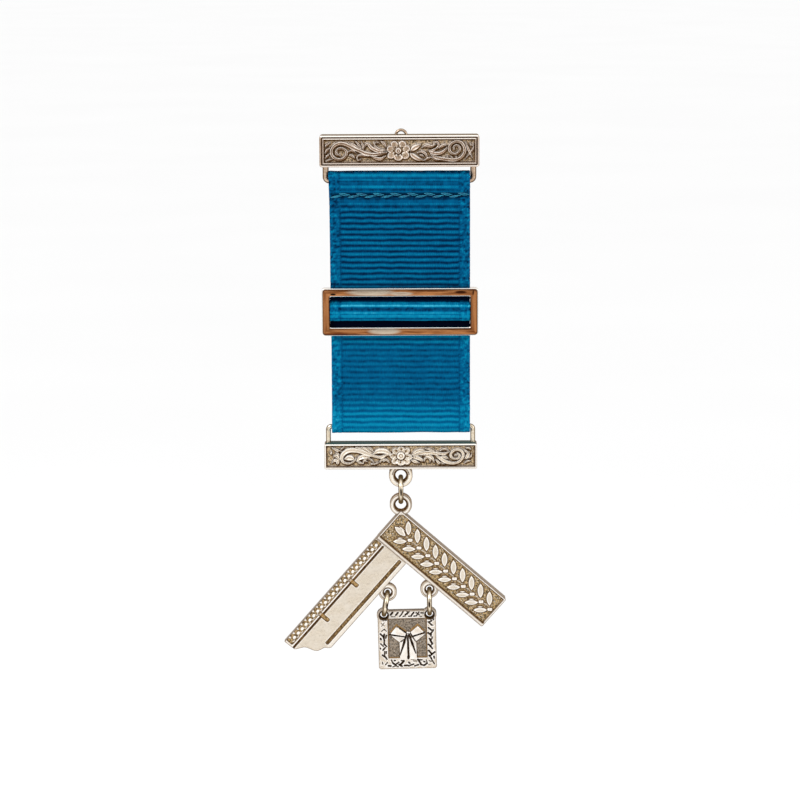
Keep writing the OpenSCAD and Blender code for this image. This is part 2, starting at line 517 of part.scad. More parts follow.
// 10 Tablet with roped border and the raised figure on a sunk field
figure = [
    // three squares on the sides of a triangle, as shares of the tablet's width
    [[-0.235, 0.205], [-0.365, 0.065], [-0.19, -0.065], [-0.1, 0.045]],
    [[0.145, 0.205], [0.04, 0.075], [0.125, -0.065], [0.265, 0.09]],
    [[-0.1, -0.03], [-0.2, -0.1], [-0.195, -0.375], [0.105, -0.375], [0.095, -0.08], [0.03, -0.03]],
    [[-0.09, 0.11], [-0.11, -0.06], [0.05, -0.06], [0.04, 0.11]]];
module tablet() color([0.88, 0.8, 0.66])
    translate([tablet_c[0], 0, tablet_c[1]]) rotate([0, -tablet_tilt, 0]) tablet_body();
module tablet_body() {
    y = mid_y - tablet_t / 2;
    field_z = -0.35;
    edge_x = (tablet_w - tablet_border) / 2;
    edge_z = (tablet_h - tablet_border) / 2;
    difference() {
        slab(y + 0.45, y + tablet_t) tablet_outline();
        for (s = [-1, 1])
            translate([s * hole_x, mid_y + 3, hole_z]) rotate([90, 0, 0])
                cylinder(r = (small_in + 1.5) / 2, h = 6, $fn = 32);
    }
    for (s = [-1, 1])
        translate([s * hole_x, mid_y, hole_z]) eye(small_in, 1.6, tablet_t, 0.25);
    slab(y, y + 0.45 + root) difference() {
        tablet_outline();
        translate([0, field_z])
            square([tablet_w - 2 * tablet_border, tablet_h - 2 * tablet_border - 0.1], center = true);
        for (s = [-1, 1]) translate([s * hole_x, hole_z]) circle(r = (small_in + 1.5) / 2, $fn = 32);
        // rope cuts above, notches beside
        for (i = [0 : 7])
            translate([(i - 3.5) * tablet_w * 0.074, edge_z + 0.1])
                polygon(tablet_border * [[-0.15, -0.32], [-0.02, -0.32], [0.18, 0.32], [0.05, 0.32]]);
        for (s = [-1, 1], i = [0 : 6])
            translate([s * edge_x, tablet_h * (0.236 - 0.093 * i)])
                polygon(tablet_border * [[-0.28, -0.18], [-0.23, -0.25], [0.28, 0.14], [0.23, 0.23]]);
        for (i = [0 : 6])
            translate([(i - 3) * tablet_w * 0.104, 0.15 - edge_z])
                polygon(tablet_border * [[-0.18, -0.23], [-0.05, -0.23], [0.18, 0.23], [0.05, 0.23]]);
    }
    slab(y + 0.05, y + 0.45 + root)
        for (f = figure) polygon([for (p = f) [p[0], p[1]] * tablet_w + [0, field_z + 0.3]]);
}
module tablet_outline() {
    polygon(rounded(tablet_w, tablet_h - 0.3, 0.6));
    for (s = [-1, 1]) translate([s * hole_x, hole_z - 0.15]) circle(r = 1.5, $fn = 32);
}

top_bar();
brooch_pin();
ribbon();
ribbon_slide();
bottom_bar();
main_jump_ring();
square_jewel();  // square
left_jump_ring();
right_jump_ring();
tablet();
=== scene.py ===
import json
import math

import bpy
import numpy as np
from mathutils import Matrix, Vector
from mathutils.geometry import tessellate_polygon

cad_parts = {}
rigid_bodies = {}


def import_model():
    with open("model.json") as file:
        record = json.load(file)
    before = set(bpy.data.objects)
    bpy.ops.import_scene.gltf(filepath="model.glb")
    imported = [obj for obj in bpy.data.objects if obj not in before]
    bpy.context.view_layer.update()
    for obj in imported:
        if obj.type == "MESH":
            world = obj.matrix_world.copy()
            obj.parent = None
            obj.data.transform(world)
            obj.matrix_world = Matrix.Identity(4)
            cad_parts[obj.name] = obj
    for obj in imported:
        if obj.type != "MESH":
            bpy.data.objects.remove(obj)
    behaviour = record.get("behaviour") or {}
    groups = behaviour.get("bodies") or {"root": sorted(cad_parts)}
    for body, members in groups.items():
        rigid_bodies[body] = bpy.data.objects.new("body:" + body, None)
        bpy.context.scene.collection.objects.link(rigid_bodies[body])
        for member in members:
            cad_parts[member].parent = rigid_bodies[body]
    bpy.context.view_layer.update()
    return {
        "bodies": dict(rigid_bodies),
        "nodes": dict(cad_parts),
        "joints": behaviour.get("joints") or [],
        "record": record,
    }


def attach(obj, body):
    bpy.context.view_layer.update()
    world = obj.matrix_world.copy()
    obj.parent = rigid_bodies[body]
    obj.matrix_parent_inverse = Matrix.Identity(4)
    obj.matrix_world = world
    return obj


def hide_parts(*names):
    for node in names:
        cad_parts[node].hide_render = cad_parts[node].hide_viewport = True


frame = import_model()
MM = 0.001

# Sizes in millimetres, as in the part's source
MID_Y, BACK_Y, FRONT_Y, GROUND_Y = -3.9, -1.8, -6.0, -5.15
TOP_W, TOP_H = 35.82, 7.1
BOTTOM_W, BOTTOM_H, BOTTOM_Z = 34.88, 5.85, -69.775
TOP_ROD_Z, BOTTOM_ROD_Z = -6.67, -63.07
RIBBON_W = 31.7
SLIDE_Z, SLIDE_H, SLIDE_W, SLIDE_RAIL = -36.188, 10.9, 35.44, 1.95
LOOP_HOLE, SMALL_HOLE = 1.24, 0.83
BAR_LOOP_Z, SQUARE_LOOP_Z, APEX_Z = -74.465, -81.305, -82.61
SLOPE = math.radians(41.1)
RIGHT_L, RIGHT_W, RIGHT_T = 32.2, 8.6, 2.9
LEFT_L, LEFT_W, LEFT_T = 41.3, 9.15, 1.9
TABLET_W, TABLET_H, TABLET_T = 13.5, 14.3, 1.6
# The slide's sides are 0.1 wider here than in the source
SLIDE_SIDE = 1.85

# Camera: the photograph's view, fitted. CENTRE_PX is the column straight ahead of it.
ELEVATION, ROLL, DISTANCE, FOCAL_PX = math.radians(10.5), math.radians(0.25), 600.0, 2622.0
TARGET_Y, TARGET_Z = -3.0, -57.153
PICTURE_PX, CENTRE_PX, SENSOR_MM = 800.0, 400.45, 36.0


# Numbers and shapes

def step(a, b, x):
    t = unit((x - a) / (b - a))
    return t * t * (3 - 2 * t)


def unit(x):
    return np.clip(x, 0, 1)


def bell(x, half):
    """1 at x = 0, falling off evenly to both sides."""
    return np.exp(-(x / half) ** 2)


def at_least(tones, name, tone):
    tones[name] = np.maximum(tones[name], tone)


def shoulder(d, r):
    """A wall that rises at d = 0 with its upper edge rounded to radius r."""
    t = unit(d / r)
    return np.where(d > 0, np.sqrt(1 - (1 - t) ** 2), 0.0)


def rumple(x, z, pitch, seed):
    """Smooth noise from -1 to 1."""
    g = np.random.default_rng(seed).random((128, 128)) * 2 - 1
    u, v = x / pitch, z / pitch
    i, j = np.floor(u).astype(int), np.floor(v).astype(int)
    f, g2 = u - i, v - j
    f, g2 = f * f * (3 - 2 * f), g2 * g2 * (3 - 2 * g2)

    def at(a, b):
        return g[(i + a) % 128, (j + b) % 128]

    return (at(0, 0) * (1 - f) * (1 - g2) + at(1, 0) * f * (1 - g2)
            + at(0, 1) * (1 - f) * g2 + at(1, 1) * f * g2)


def blur(h, cells):
    n = max(1, int(3 * cells))
    k = np.exp(-0.5 * (np.arange(-n, n + 1) / cells) ** 2)
    k /= k.sum()
    for axis in (0, 1):
        pad = [(n, n) if a == axis else (0, 0) for a in (0, 1)]
        p = np.pad(h, pad, mode="edge")
        h = sum(w * np.take(p, np.arange(i, i + h.shape[axis]), axis) for i, w in enumerate(k))
    return h


def box_sd(x, z, cx, cz, hw, hh, r=0.0):
    qx, qz = abs(x - cx) - hw + r, abs(z - cz) - hh + r
    return np.hypot(np.maximum(qx, 0), np.maximum(qz, 0)) + np.minimum(np.maximum(qx, qz), 0) - r


def disc_sd(x, z, cx, cz, r):
    return np.hypot(x - cx, z - cz) - r


def poly_sd(x, z, pts):
    """Signed distance to a polygon, negative inside."""
    d = np.full(x.shape, 1e9)
    inside = np.zeros(x.shape, bool)
    for (ax, az), (bx, bz) in zip(pts, pts[1:] + pts[:1]):
        ex, ez = bx - ax, bz - az
        t = unit(((x - ax) * ex + (z - az) * ez) / (ex * ex + ez * ez))
        d = np.minimum(d, np.hypot(x - ax - t * ex, z - az - t * ez))
        cross = (az > z) != (bz > z)
        with np.errstate(divide="ignore", invalid="ignore"):
            inside ^= cross & (x < ex * (z - az) / (ez if ez else 1e-9) + ax)
    return np.where(inside, -d, d)


def smooth_line(pts, k=8):
    p = np.array(pts, float)
    q = np.vstack([p[:1], p, p[-1:]])
    t = (np.arange(k) / k)[:, None]
    out = []
    for i in range(len(p) - 1):
        a, b, c, d = q[i:i + 4]
        out.append(0.5 * (2 * b + (c - a) * t + (2 * a - 5 * b + 4 * c - d) * t ** 2
                          + (3 * b - a - 3 * c + d) * t ** 3))
    return np.vstack(out + [p[-1:]])


def stroke(x, z, line):
    """Across (signed, 1 at the edge) and along (0 to 1) a line whose rows are x, z, half width."""
    a, b = line[:-1], line[1:]
    e = b[:, :2] - a[:, :2]
    n = np.maximum((e ** 2).sum(1), 1e-12)
    px, pz = x[:, None] - a[:, 0], z[:, None] - a[:, 1]
    t = unit((px * e[:, 0] + pz * e[:, 1]) / n)
    d = np.hypot(px - t * e[:, 0], pz - t * e[:, 1])
    q = d / np.maximum(a[:, 2] + t * (b[:, 2] - a[:, 2]), 0.01)
    i = q.argmin(1)
    r = np.arange(len(x))
    side = np.sign(e[i, 0] * pz[r, i] - e[i, 1] * px[r, i])
    return q[r, i] * np.where(side == 0, 1, side), (i + t[r, i]) / len(a)


def carve(h, marks, X, Z, pts, top, leaf):
    """Raises h (above the ground) along a line, and marks its dished middle (1) and its rims (-1)."""
    line = smooth_line(pts)
    m = line[:, 2].max() + 0.02
    near = ((X > line[:, 0].min() - m) & (X < line[:, 0].max() + m)
            & (Z > line[:, 1].min() - m) & (Z < line[:, 1].max() + m))
    q, s = stroke(X[near], Z[near], line)
    a = abs(q)
    wall = np.sqrt(unit(1 - a ** 5))
    rims = bell(a - 0.66, 0.22)
    if leaf:
        body = 0.66 + 0.34 * rims - 0.14 * bell(q, 0.25) * step(0, 0.2, s)
        floor = 0.5 * step(0.4, 0.1, a) - 0.7 * rims
    else:
        body = 0.58 + 0.42 * rims
        floor = 0.75 * step(0.42, 0.15, a) - 0.85 * rims
    rise = np.where(a < 1, top * wall * body, 0)
    h[near] = np.maximum(h[near], rise)
    marks[near] = np.where(a < 1, floor, marks[near])


# Meshes

class Piece:
    """Collects vertices (mm), faces and point attributes, and makes one object of them."""

    def __init__(self):
        self.v, self.f, self.m, self.a, self.n = [], [], [], {}, 0

    def add(self, verts, faces, mat=0, **attrs):
        verts = np.asarray(verts, float).reshape(-1, 3)
        for k in set(self.a) | set(attrs):
            self.a.setdefault(k, [np.zeros(self.n)] if self.n else [])
            value = attrs.get(k, 0.0)
            self.a[k].append(np.broadcast_to(np.asarray(value, float).ravel()
                                             if np.ndim(value) else value, (len(verts),)))
        self.v.append(verts)
        for f in faces:
            f = np.asarray(f) + self.n
            self.f += f.tolist()
            self.m += [mat] * len(f)
        self.n += len(verts)
        return self

    def make(self, name, body, mats, replaces=(), sharp=40):
        mesh = bpy.data.meshes.new(name)
        mesh.from_pydata((np.vstack(self.v) * MM).tolist(), [], self.f)
        mesh.polygons.foreach_set("material_index", self.m)
        for k, parts in self.a.items():
            at = mesh.attributes.new(k, "FLOAT", "POINT")
            at.data.foreach_set("value", np.concatenate(parts).astype(np.float32))
        for m in mats:
            mesh.materials.append(m)
        mesh.shade_smooth()
        mesh.set_sharp_from_angle(angle=math.radians(sharp))
        mesh.validate()
        o = bpy.data.objects.new(name, mesh)
        bpy.context.scene.collection.objects.link(o)
        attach(o, body)
        if replaces:
            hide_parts(*replaces)
        return o


def turned_out(verts, quads):
    """Faces in the order that makes a closed mesh's volume positive."""
    total = 0.0
    for f in quads:
        f = np.asarray(f)
        a = verts[f[:, 0]]
        for i in range(1, f.shape[1] - 1):
            total += (a * np.cross(verts[f[:, i]], verts[f[:, i + 1]])).sum()
    return quads if total > 0 else [np.asarray(f)[:, ::-1] for f in quads]


def plate(piece, xs, zs, outline, front, back, place, side_mat=0):
    """A plate on a grid: outline(X, Z) is negative inside, front(X, Z) gives depth y and tones;
    back is a depth, or a function like front. place maps X, Y, Z to the row frame."""
    X, Z = np.meshgrid(xs, zs)
    cell = min(xs[1] - xs[0], zs[1] - zs[0])
    s = outline(X, Z)
    ok = s < 0.45 * cell
    cells = ok[:-1, :-1] & ok[1:, :-1] & ok[:-1, 1:] & ok[1:, 1:]
    count = np.zeros(X.shape, int)
    for a in (0, 1):
        for b in (0, 1):
            count[a:a + cells.shape[0], b:b + cells.shape[1]] += cells
    rim = (count > 0) & (count < 4)
    e = 1e-3
    gx, gz = ((outline(X + e, Z) - outline(X - e, Z)) / (2 * e),
              (outline(X, Z + e) - outline(X, Z - e)) / (2 * e))
    g = np.maximum(np.hypot(gx, gz), 0.3)
    X2 = np.where(rim, X - s * gx / g ** 2, X)
    Z2 = np.where(rim, Z - s * gz / g ** 2, Z)
    Y, tone = front(X, Z)
    used = count > 0
    index = np.full(X.shape, -1)
    index[used] = np.arange(used.sum())
    n = int(used.sum())
    r, c = np.nonzero(cells)
    quads = np.stack([index[r, c], index[r, c + 1], index[r + 1, c + 1], index[r + 1, c]], 1)
    top = np.stack([X2[used], Y[used], Z2[used]], 1)
    # the sides hang from the edges that only one cell uses
    edges = np.vstack([quads[:, [i, (i + 1) % 4]] for i in range(4)])
    sided = dict.fromkeys((a, b) for a, b in edges.tolist())
    free = [(a, b) for a, b in sided if (b, a) not in sided]
    flat_back = not callable(back)
    if flat_back:
        order = sorted({a for e2 in free for a in e2})
        low = {a: n + i for i, a in enumerate(order)}
        under = top[order].copy()
        under[:, 1] = back
        follow = {}
        for a, b in free:
            follow.setdefault(a, []).append(b)
        loops = []
        while follow:
            start = next(iter(follow))
            loop, at = [], start
            while at in follow:
                loop.append(at)
                nxt = follow[at].pop()
                if not follow[at]:
                    del follow[at]
                at = nxt
            loops.append(loop)
        loops.sort(key=len, reverse=True)
        flat = [a for loop in loops for a in loop]
        tris = tessellate_polygon([[Vector((top[a, 0], top[a, 2], 0)) for a in loop] for loop in loops])
        lid = np.array([[low[flat[k]] for k in t] for t in tris])
        # the lid's faces face the other way from the front's
        p = np.vstack([top, under])

        def area(t):
            a, b, c = (p[t[:, i]][:, [0, 2]] for i in range(3))
            return np.cross(b - a, c - a)

        fa = area(quads[:1, :3])[0]
        la = area(lid)
        lid[la * fa > 0] = lid[la * fa > 0][:, ::-1]
        faces = [quads, lid]
        verts = p
    else:
        Yb, _ = back(X, Z)
        under = np.stack([X2[used], Yb[used], Z2[used]], 1)
        low = {a: n + a for a in range(n)}
        faces = [quads, quads[:, ::-1] + n]
        verts = np.vstack([top, under])
    sides = np.array([[b, a, low[a], low[b]] for a, b in free])
    verts = place(verts[:, 0], verts[:, 1], verts[:, 2])
    groups = turned_out(verts, faces + [sides])
    attrs = {k: np.concatenate([t[used], np.zeros(len(verts) - n) if flat_back else t[used]])
             for k, t in (tone or {}).items()}
    base = piece.n
    piece.add(verts, groups[:2], **attrs)
    piece.n = base
    for f in groups[2:]:
        f = np.asarray(f) + base
        piece.f += f.tolist()
        piece.m += [side_mat] * len(f)
    piece.n = base + len(verts)


def straight(dz=0.0):
    """The place of a plate that stands upright, raised by dz."""
    return lambda x, y, z: np.stack([x, y, z + dz], 1)


def grid_quads(rows, cols, wrap_rows=True, wrap_cols=True):
    """Faces of a grid of points, closed round in the directions that wrap."""
    i, j = np.meshgrid(np.arange(rows if wrap_rows else rows - 1),
                       np.arange(cols if wrap_cols else cols - 1), indexing="ij")
    i2, j2 = (i + 1) % rows, (j + 1) % cols
    return np.stack([i * cols + j, i * cols + j2, i2 * cols + j2, i2 * cols + j], -1).reshape(-1, 4)


def tube(path, radius, n):
    """A closed-ended tube along a path; radius is a number or one for each point."""
    p = np.asarray(path, float)
    r = np.broadcast_to(radius, (len(p),))
    t = np.gradient(p, axis=0)
    t /= np.linalg.norm(t, axis=1)[:, None]
    u = np.cross(t[0], [0.31, 0.95, 0.1])
    u /= np.linalg.norm(u)
    us = []
    for k in range(len(p)):
        u = u - t[k] * (u @ t[k])
        u /= np.linalg.norm(u)
        us.append(u)
    us = np.array(us)
    vs = np.cross(t, us)
    a = np.linspace(0, 2 * math.pi, n, endpoint=False)
    verts = (p[:, None] + r[:, None, None] * (np.cos(a)[None, :, None] * us[:, None]
                                              + np.sin(a)[None, :, None] * vs[:, None])).reshape(-1, 3)
    ends = [np.arange(n)[None, ::-1], np.arange(len(verts) - n, len(verts))[None]]
    return verts, turned_out(verts, [grid_quads(len(p), n, wrap_rows=False)] + ends)


# Materials

def material(name):
    m = bpy.data.materials.new(name)
    m.use_nodes = True
    tree = m.node_tree
    tree.nodes.clear()
    out = tree.nodes.new("ShaderNodeOutputMaterial")
    bsdf = tree.nodes.new("ShaderNodeBsdfPrincipled")
    tree.links.new(bsdf.outputs[0], out.inputs[0])
    return m, tree, bsdf


class Graph:
    def __init__(self, tree):
        self.tree = tree
        self.object = tree.nodes.new("ShaderNodeTexCoord").outputs["Object"]

    def _plug(self, socket, value):
        if isinstance(value, bpy.types.NodeSocket):
            self.tree.links.new(value, socket)
        elif value is not None:
            if hasattr(socket.default_value, "__len__") and not hasattr(value, "__len__"):
                value = [value] * len(socket.default_value)
            if hasattr(value, "__len__") and len(socket.default_value) == 4 and len(value) == 3:
                value = (*value, 1.0)
            socket.default_value = value

    def math(self, op, a, b=None, clamp=False):
        n = self.tree.nodes.new("ShaderNodeMath")
        n.operation, n.use_clamp = op, clamp
        for s, v in zip(n.inputs, (a, b)):
            self._plug(s, v)
        return n.outputs[0]

    def times(self, a, b, clamp=False):
        return self.math("MULTIPLY", a, b, clamp)

    def plus(self, a, b):
        return self.math("ADD", a, b)

    def minus(self, a, b):
        return self.math("SUBTRACT", a, b)

    def mix(self, f, a, b):
        n = self.tree.nodes.new("ShaderNodeMix")
        n.data_type, n.blend_type = "RGBA", "MIX"
        self._plug(n.inputs[0], f)
        self._plug(n.inputs[6], a)
        self._plug(n.inputs[7], b)
        return n.outputs[2]

    def scaled(self, scale):
        n = self.tree.nodes.new("ShaderNodeMapping")
        self.tree.links.new(self.object, n.inputs[0])
        n.inputs["Scale"].default_value = scale
        return n.outputs[0]

    def noise(self, scale, detail=3.0, rough=0.5, vector=None):
        n = self.tree.nodes.new("ShaderNodeTexNoise")
        self.tree.links.new(vector or self.object, n.inputs["Vector"])
        n.inputs["Scale"].default_value = scale
        n.inputs["Detail"].default_value = detail
        n.inputs["Roughness"].default_value = rough
        return n.outputs["Fac"]

    def attribute(self, name):
        n = self.tree.nodes.new("ShaderNodeAttribute")
        n.attribute_name = name
        return n.outputs["Fac"]

    def between(self, v, lo, hi, a=0.0, b=1.0):
        n = self.tree.nodes.new("ShaderNodeMapRange")
        n.interpolation_type = "SMOOTHSTEP"
        self._plug(n.inputs[0], v)
        for i, x in enumerate((lo, hi, a, b)):
            n.inputs[i + 1].default_value = x
        return n.outputs[0]

    def facing(self):
        n = self.tree.nodes.new("ShaderNodeLayerWeight")
        n.inputs["Blend"].default_value = 0.5
        return n.outputs["Facing"]

    def spot(self, x, z, half_x, half_z, soft=0.4):
        """A soft-edged oval mark, in millimetres."""
        u = self.math("DIVIDE", self.minus(self.axis(0), x * MM), half_x * MM)
        v = self.math("DIVIDE", self.minus(self.axis(2), z * MM), half_z * MM)
        r = self.math("SQRT", self.plus(self.times(u, u), self.times(v, v)))
        return self.between(r, 1.0, 1.0 - soft)

    def bump(self, height, strength, distance, normal=None):
        n = self.tree.nodes.new("ShaderNodeBump")
        n.inputs["Strength"].default_value = strength
        n.inputs["Distance"].default_value = distance
        self._plug(n.inputs["Height"], height)
        if normal is not None:
            self.tree.links.new(normal, n.inputs["Normal"])
        return n.outputs[0]

    def axis(self, i):
        n = self.tree.nodes.new("ShaderNodeSeparateXYZ")
        self.tree.links.new(self.object, n.inputs[0])
        return n.outputs[i]


def cast_metal(name, face, ground, foot, shine, rough=0.3, lid=None, pits=(),
               mottle=(1.5, 0.24), warmth=0.5):
    """Cast gilt metal: brown in the hollows with patina and painted shade, painted brown on edges that
    turn steeply away, bright on the ridges with wear and painted highlights, and mottled on the sunk
    ground, between two multiples of its colour. Warmth puts ochre into the half-dark places. A lid
    (height, tone, back tone) paints a reflection onto a bar's upper side, and pits are painted shade
    at dark round places (x, z, radius)."""
    m, tree, bsdf = material(name)
    g = Graph(tree)
    hollow, ridge, low = g.attribute("hollow"), g.attribute("ridge"), g.attribute("ground")
    speck, fleck = g.noise(2500, 2.0, 0.7), g.noise(5600, 1.0, 0.5)
    cloud = g.noise(420, 4.0, 0.55)
    tint = g.mix(g.between(cloud, 0.38, 0.66, 0.0, 0.22), face, shine)
    tint = g.mix(g.between(speck, 0.52, 0.72, 0.0, 0.18), tint, foot)
    dirt = g.between(g.plus(g.noise(2300, 2.0, 0.7), g.times(fleck, 0.35)), 0.55, 0.79)
    patina = g.mix(dirt, [c * mottle[0] for c in ground], [c * mottle[1] for c in ground])
    colour = g.mix(low, tint, patina)
    # wear and painted highlight: the ridges turn toward the shine colour
    bright = g.times(ridge, 1.1, clamp=True)
    colour = g.mix(bright, colour, shine)
    dark = g.times(hollow, g.between(speck, 0.3, 0.75, 1.15, 0.85), clamp=True)
    warm = g.math("MAXIMUM", g.attribute("ochre"), g.between(dark, 0.9, 0.3, 0.0, warmth))
    colour = g.mix(dark, colour, g.mix(warm, foot, OCHRE))
    # painted shade: dark round places at the pits
    for x, z, radius in pits:
        dark = g.math("MAXIMUM", dark, g.spot(x, z, radius, radius))
        colour = g.mix(g.spot(x, z, radius, radius), colour, foot)
    # painted shade: edges that turn steeply away are painted brown and made less metallic
    grazing_shade = g.times(g.between(g.facing(), 0.45, 0.82), 0.86)
    flat = 0.0
    # painted reflection: the lid's tones on the bar's upper side, which is made not metallic
    if lid:
        flat = g.times(g.between(g.axis(2), (lid[0] - 0.05) * MM, (lid[0] - 0.02) * MM),
                      g.between(g.axis(1), (FRONT_Y + 0.05) * MM, (FRONT_Y + 0.2) * MM))
    colour = g.mix(grazing_shade, colour, [c * 1.6 for c in foot])
    if lid:
        strip = g.mix(g.between(g.axis(1), -4.6 * MM, -2.6 * MM), lid[1], lid[2])
        colour = g.mix(flat, colour, strip)
    tree.links.new(colour, bsdf.inputs["Base Color"])
    metal = 1.0
    for tone, share in ((dark, 0.9), (bright, 0.6), (grazing_shade, 1.0), (flat, 1.0)):
        kept = g.minus(1.0, g.times(tone, share))
        metal = g.times(metal, kept)
    tree.links.new(metal, bsdf.inputs["Metallic"])
    worn = g.plus(g.between(cloud, 0.3, 0.7, rough - 0.04, rough + 0.08),
                  g.times(g.plus(low, dark), 0.16))
    tree.links.new(worn, bsdf.inputs["Roughness"])
    bsdf.inputs["Specular IOR Level"].default_value = 0.0
    fine = g.bump(g.noise(2600, 3.0, 0.6), 0.2, 0.00004)
    coarse = g.bump(g.times(low, speck), 0.8, 0.00008, fine)
    tree.links.new(coarse, bsdf.inputs["Normal"])
    return m


def wire_metal(name, face, shade, rough, shade_marks=()):
    """Drawn wire, painted dark brown at the sides as painted shade, and tarnished in patches; the
    dark marks (x, z, half sizes) are painted shade.
    """
    m, tree, bsdf = material(name)
    g = Graph(tree)
    cloud = g.noise(1300, 4.0, 0.6)
    colour = g.mix(g.between(cloud, 0.42, 0.72, 0.0, 0.7), face, shade)
    # painted shade: where the wire turns away it is painted dark brown and made less metallic
    edge = g.between(g.facing(), 0.1, 0.42)
    colour = g.mix(edge, colour, [c * 0.34 for c in shade])
    dent = g.between(g.noise(900, 2.0, 0.6), 0.56, 0.7, 0.0, 0.7)
    colour = g.mix(dent, colour, [c * 0.3 for c in shade])
    for x, z, half_x, half_z in shade_marks:
        colour = g.mix(g.spot(x, z, half_x, half_z), colour, (0.02, 0.008, 0.002))
    tree.links.new(colour, bsdf.inputs["Base Color"])
    tree.links.new(g.minus(1.0, g.times(edge, 0.85)), bsdf.inputs["Metallic"])
    bsdf.inputs["Specular IOR Level"].default_value = 0.0
    tree.links.new(g.between(cloud, 0.3, 0.7, rough, rough + 0.14), bsdf.inputs["Roughness"])
    tree.links.new(g.bump(g.noise(3800, 2.0, 0.6), 0.12, 0.00003), bsdf.inputs["Normal"])
    return m


# Fixed marks on the slide that imitate the photograph's reflections: across and up
# from its middle, half width and half height, and for the dark ones their colour
SLIDE_PALE = ((-6.6, 4.55, 6.4, 1.0), (0.3, 4.2, 3.2, 0.5), (-3.6, -4.35, 4.4, 0.95))
SLIDE_DARK = ((-15.1, 4.1, 0.85, 0.3, (0.012, 0.005, 0.003)), (-13.6, -5.0, 2.2, 0.2, (0.1, 0.018, 0.006)),
              (13.7, 4.5, 1.7, 0.42, (0.05, 0.012, 0.004)), (14.6, -3.75, 1.7, 0.2, (0.09, 0.02, 0.006)),
              (16.5, 4.4, 0.2, 0.8, (0.03, 0.008, 0.003)), (-16.0, 2.4, 0.16, 0.3, (0.05, 0.01, 0.004)),
              (-16.0, 0.5, 0.16, 0.28, (0.05, 0.01, 0.004)))


def slide_metal():
    """Polished copper-toned metal with soft streaks along the rails, painted highlights on the
    edges, painted dark reflection lines and patches, and fixed marks of painted reflection.
    """
    m, tree, bsdf = material("slide_polish")
    g = Graph(tree)
    across = g.noise(1.0, 3.0, 0.55, g.scaled((110, 300, 1500)))
    down = g.noise(1.0, 3.0, 0.55, g.scaled((1500, 300, 130)))
    calm = g.plus(g.times(down, 0.45), 0.29)
    edge, seam, upright = g.attribute("edge"), g.attribute("seam"), g.attribute("upright")
    streak = g.plus(g.times(across, g.minus(1.0, upright)), g.times(calm, upright))
    colour = g.mix(g.between(streak, 0.36, 0.62), (0.17, 0.05, 0.013), (0.5, 0.21, 0.078))
    lift = g.between(streak, 0.34, 0.52, 0.55, 1.0)
    for x, z, half_x, half_z in SLIDE_PALE:
        shine = g.spot(x, SLIDE_Z + z, half_x, half_z, 0.45)
        colour = g.mix(g.times(shine, lift), colour, (0.56, 0.46, 0.35))
    for x, z, half_x, half_z, tone in SLIDE_DARK:
        colour = g.mix(g.spot(x, SLIDE_Z + z, half_x, half_z, 0.5), colour, tone)
    # painted reflection: dark lines where the bevels turn, and pale highlights along the edges, broken on
    # the uprights' inner sides by dark patches
    cut = g.times(seam, g.between(across, 0.3, 0.6, 1.0, 0.75))
    colour = g.mix(cut, colour, (0.05, 0.014, 0.006))
    patchy = g.times(upright, g.between(down, 0.3, 0.5, 0.35, 1.0))
    side = g.math("ABSOLUTE", g.axis(0))
    inside = g.between(side, (SLIDE_W / 2 - 1.0) * MM, (SLIDE_W / 2 - 1.2) * MM)
    colour = g.mix(g.times(edge, g.minus(1.0, g.times(patchy, inside))), colour, (0.93, 0.9, 0.84))
    dark_reflection_patch = g.times(g.times(edge, patchy), inside)
    colour = g.mix(g.times(dark_reflection_patch, 0.8), colour, (0.06, 0.02, 0.008))
    tree.links.new(colour, bsdf.inputs["Base Color"])
    bsdf.inputs["Metallic"].default_value = 1.0
    tree.links.new(g.between(streak, 0.3, 0.7, 0.16, 0.3), bsdf.inputs["Roughness"])
    tree.links.new(g.bump(streak, 0.1, 0.00003), bsdf.inputs["Normal"])
    return m


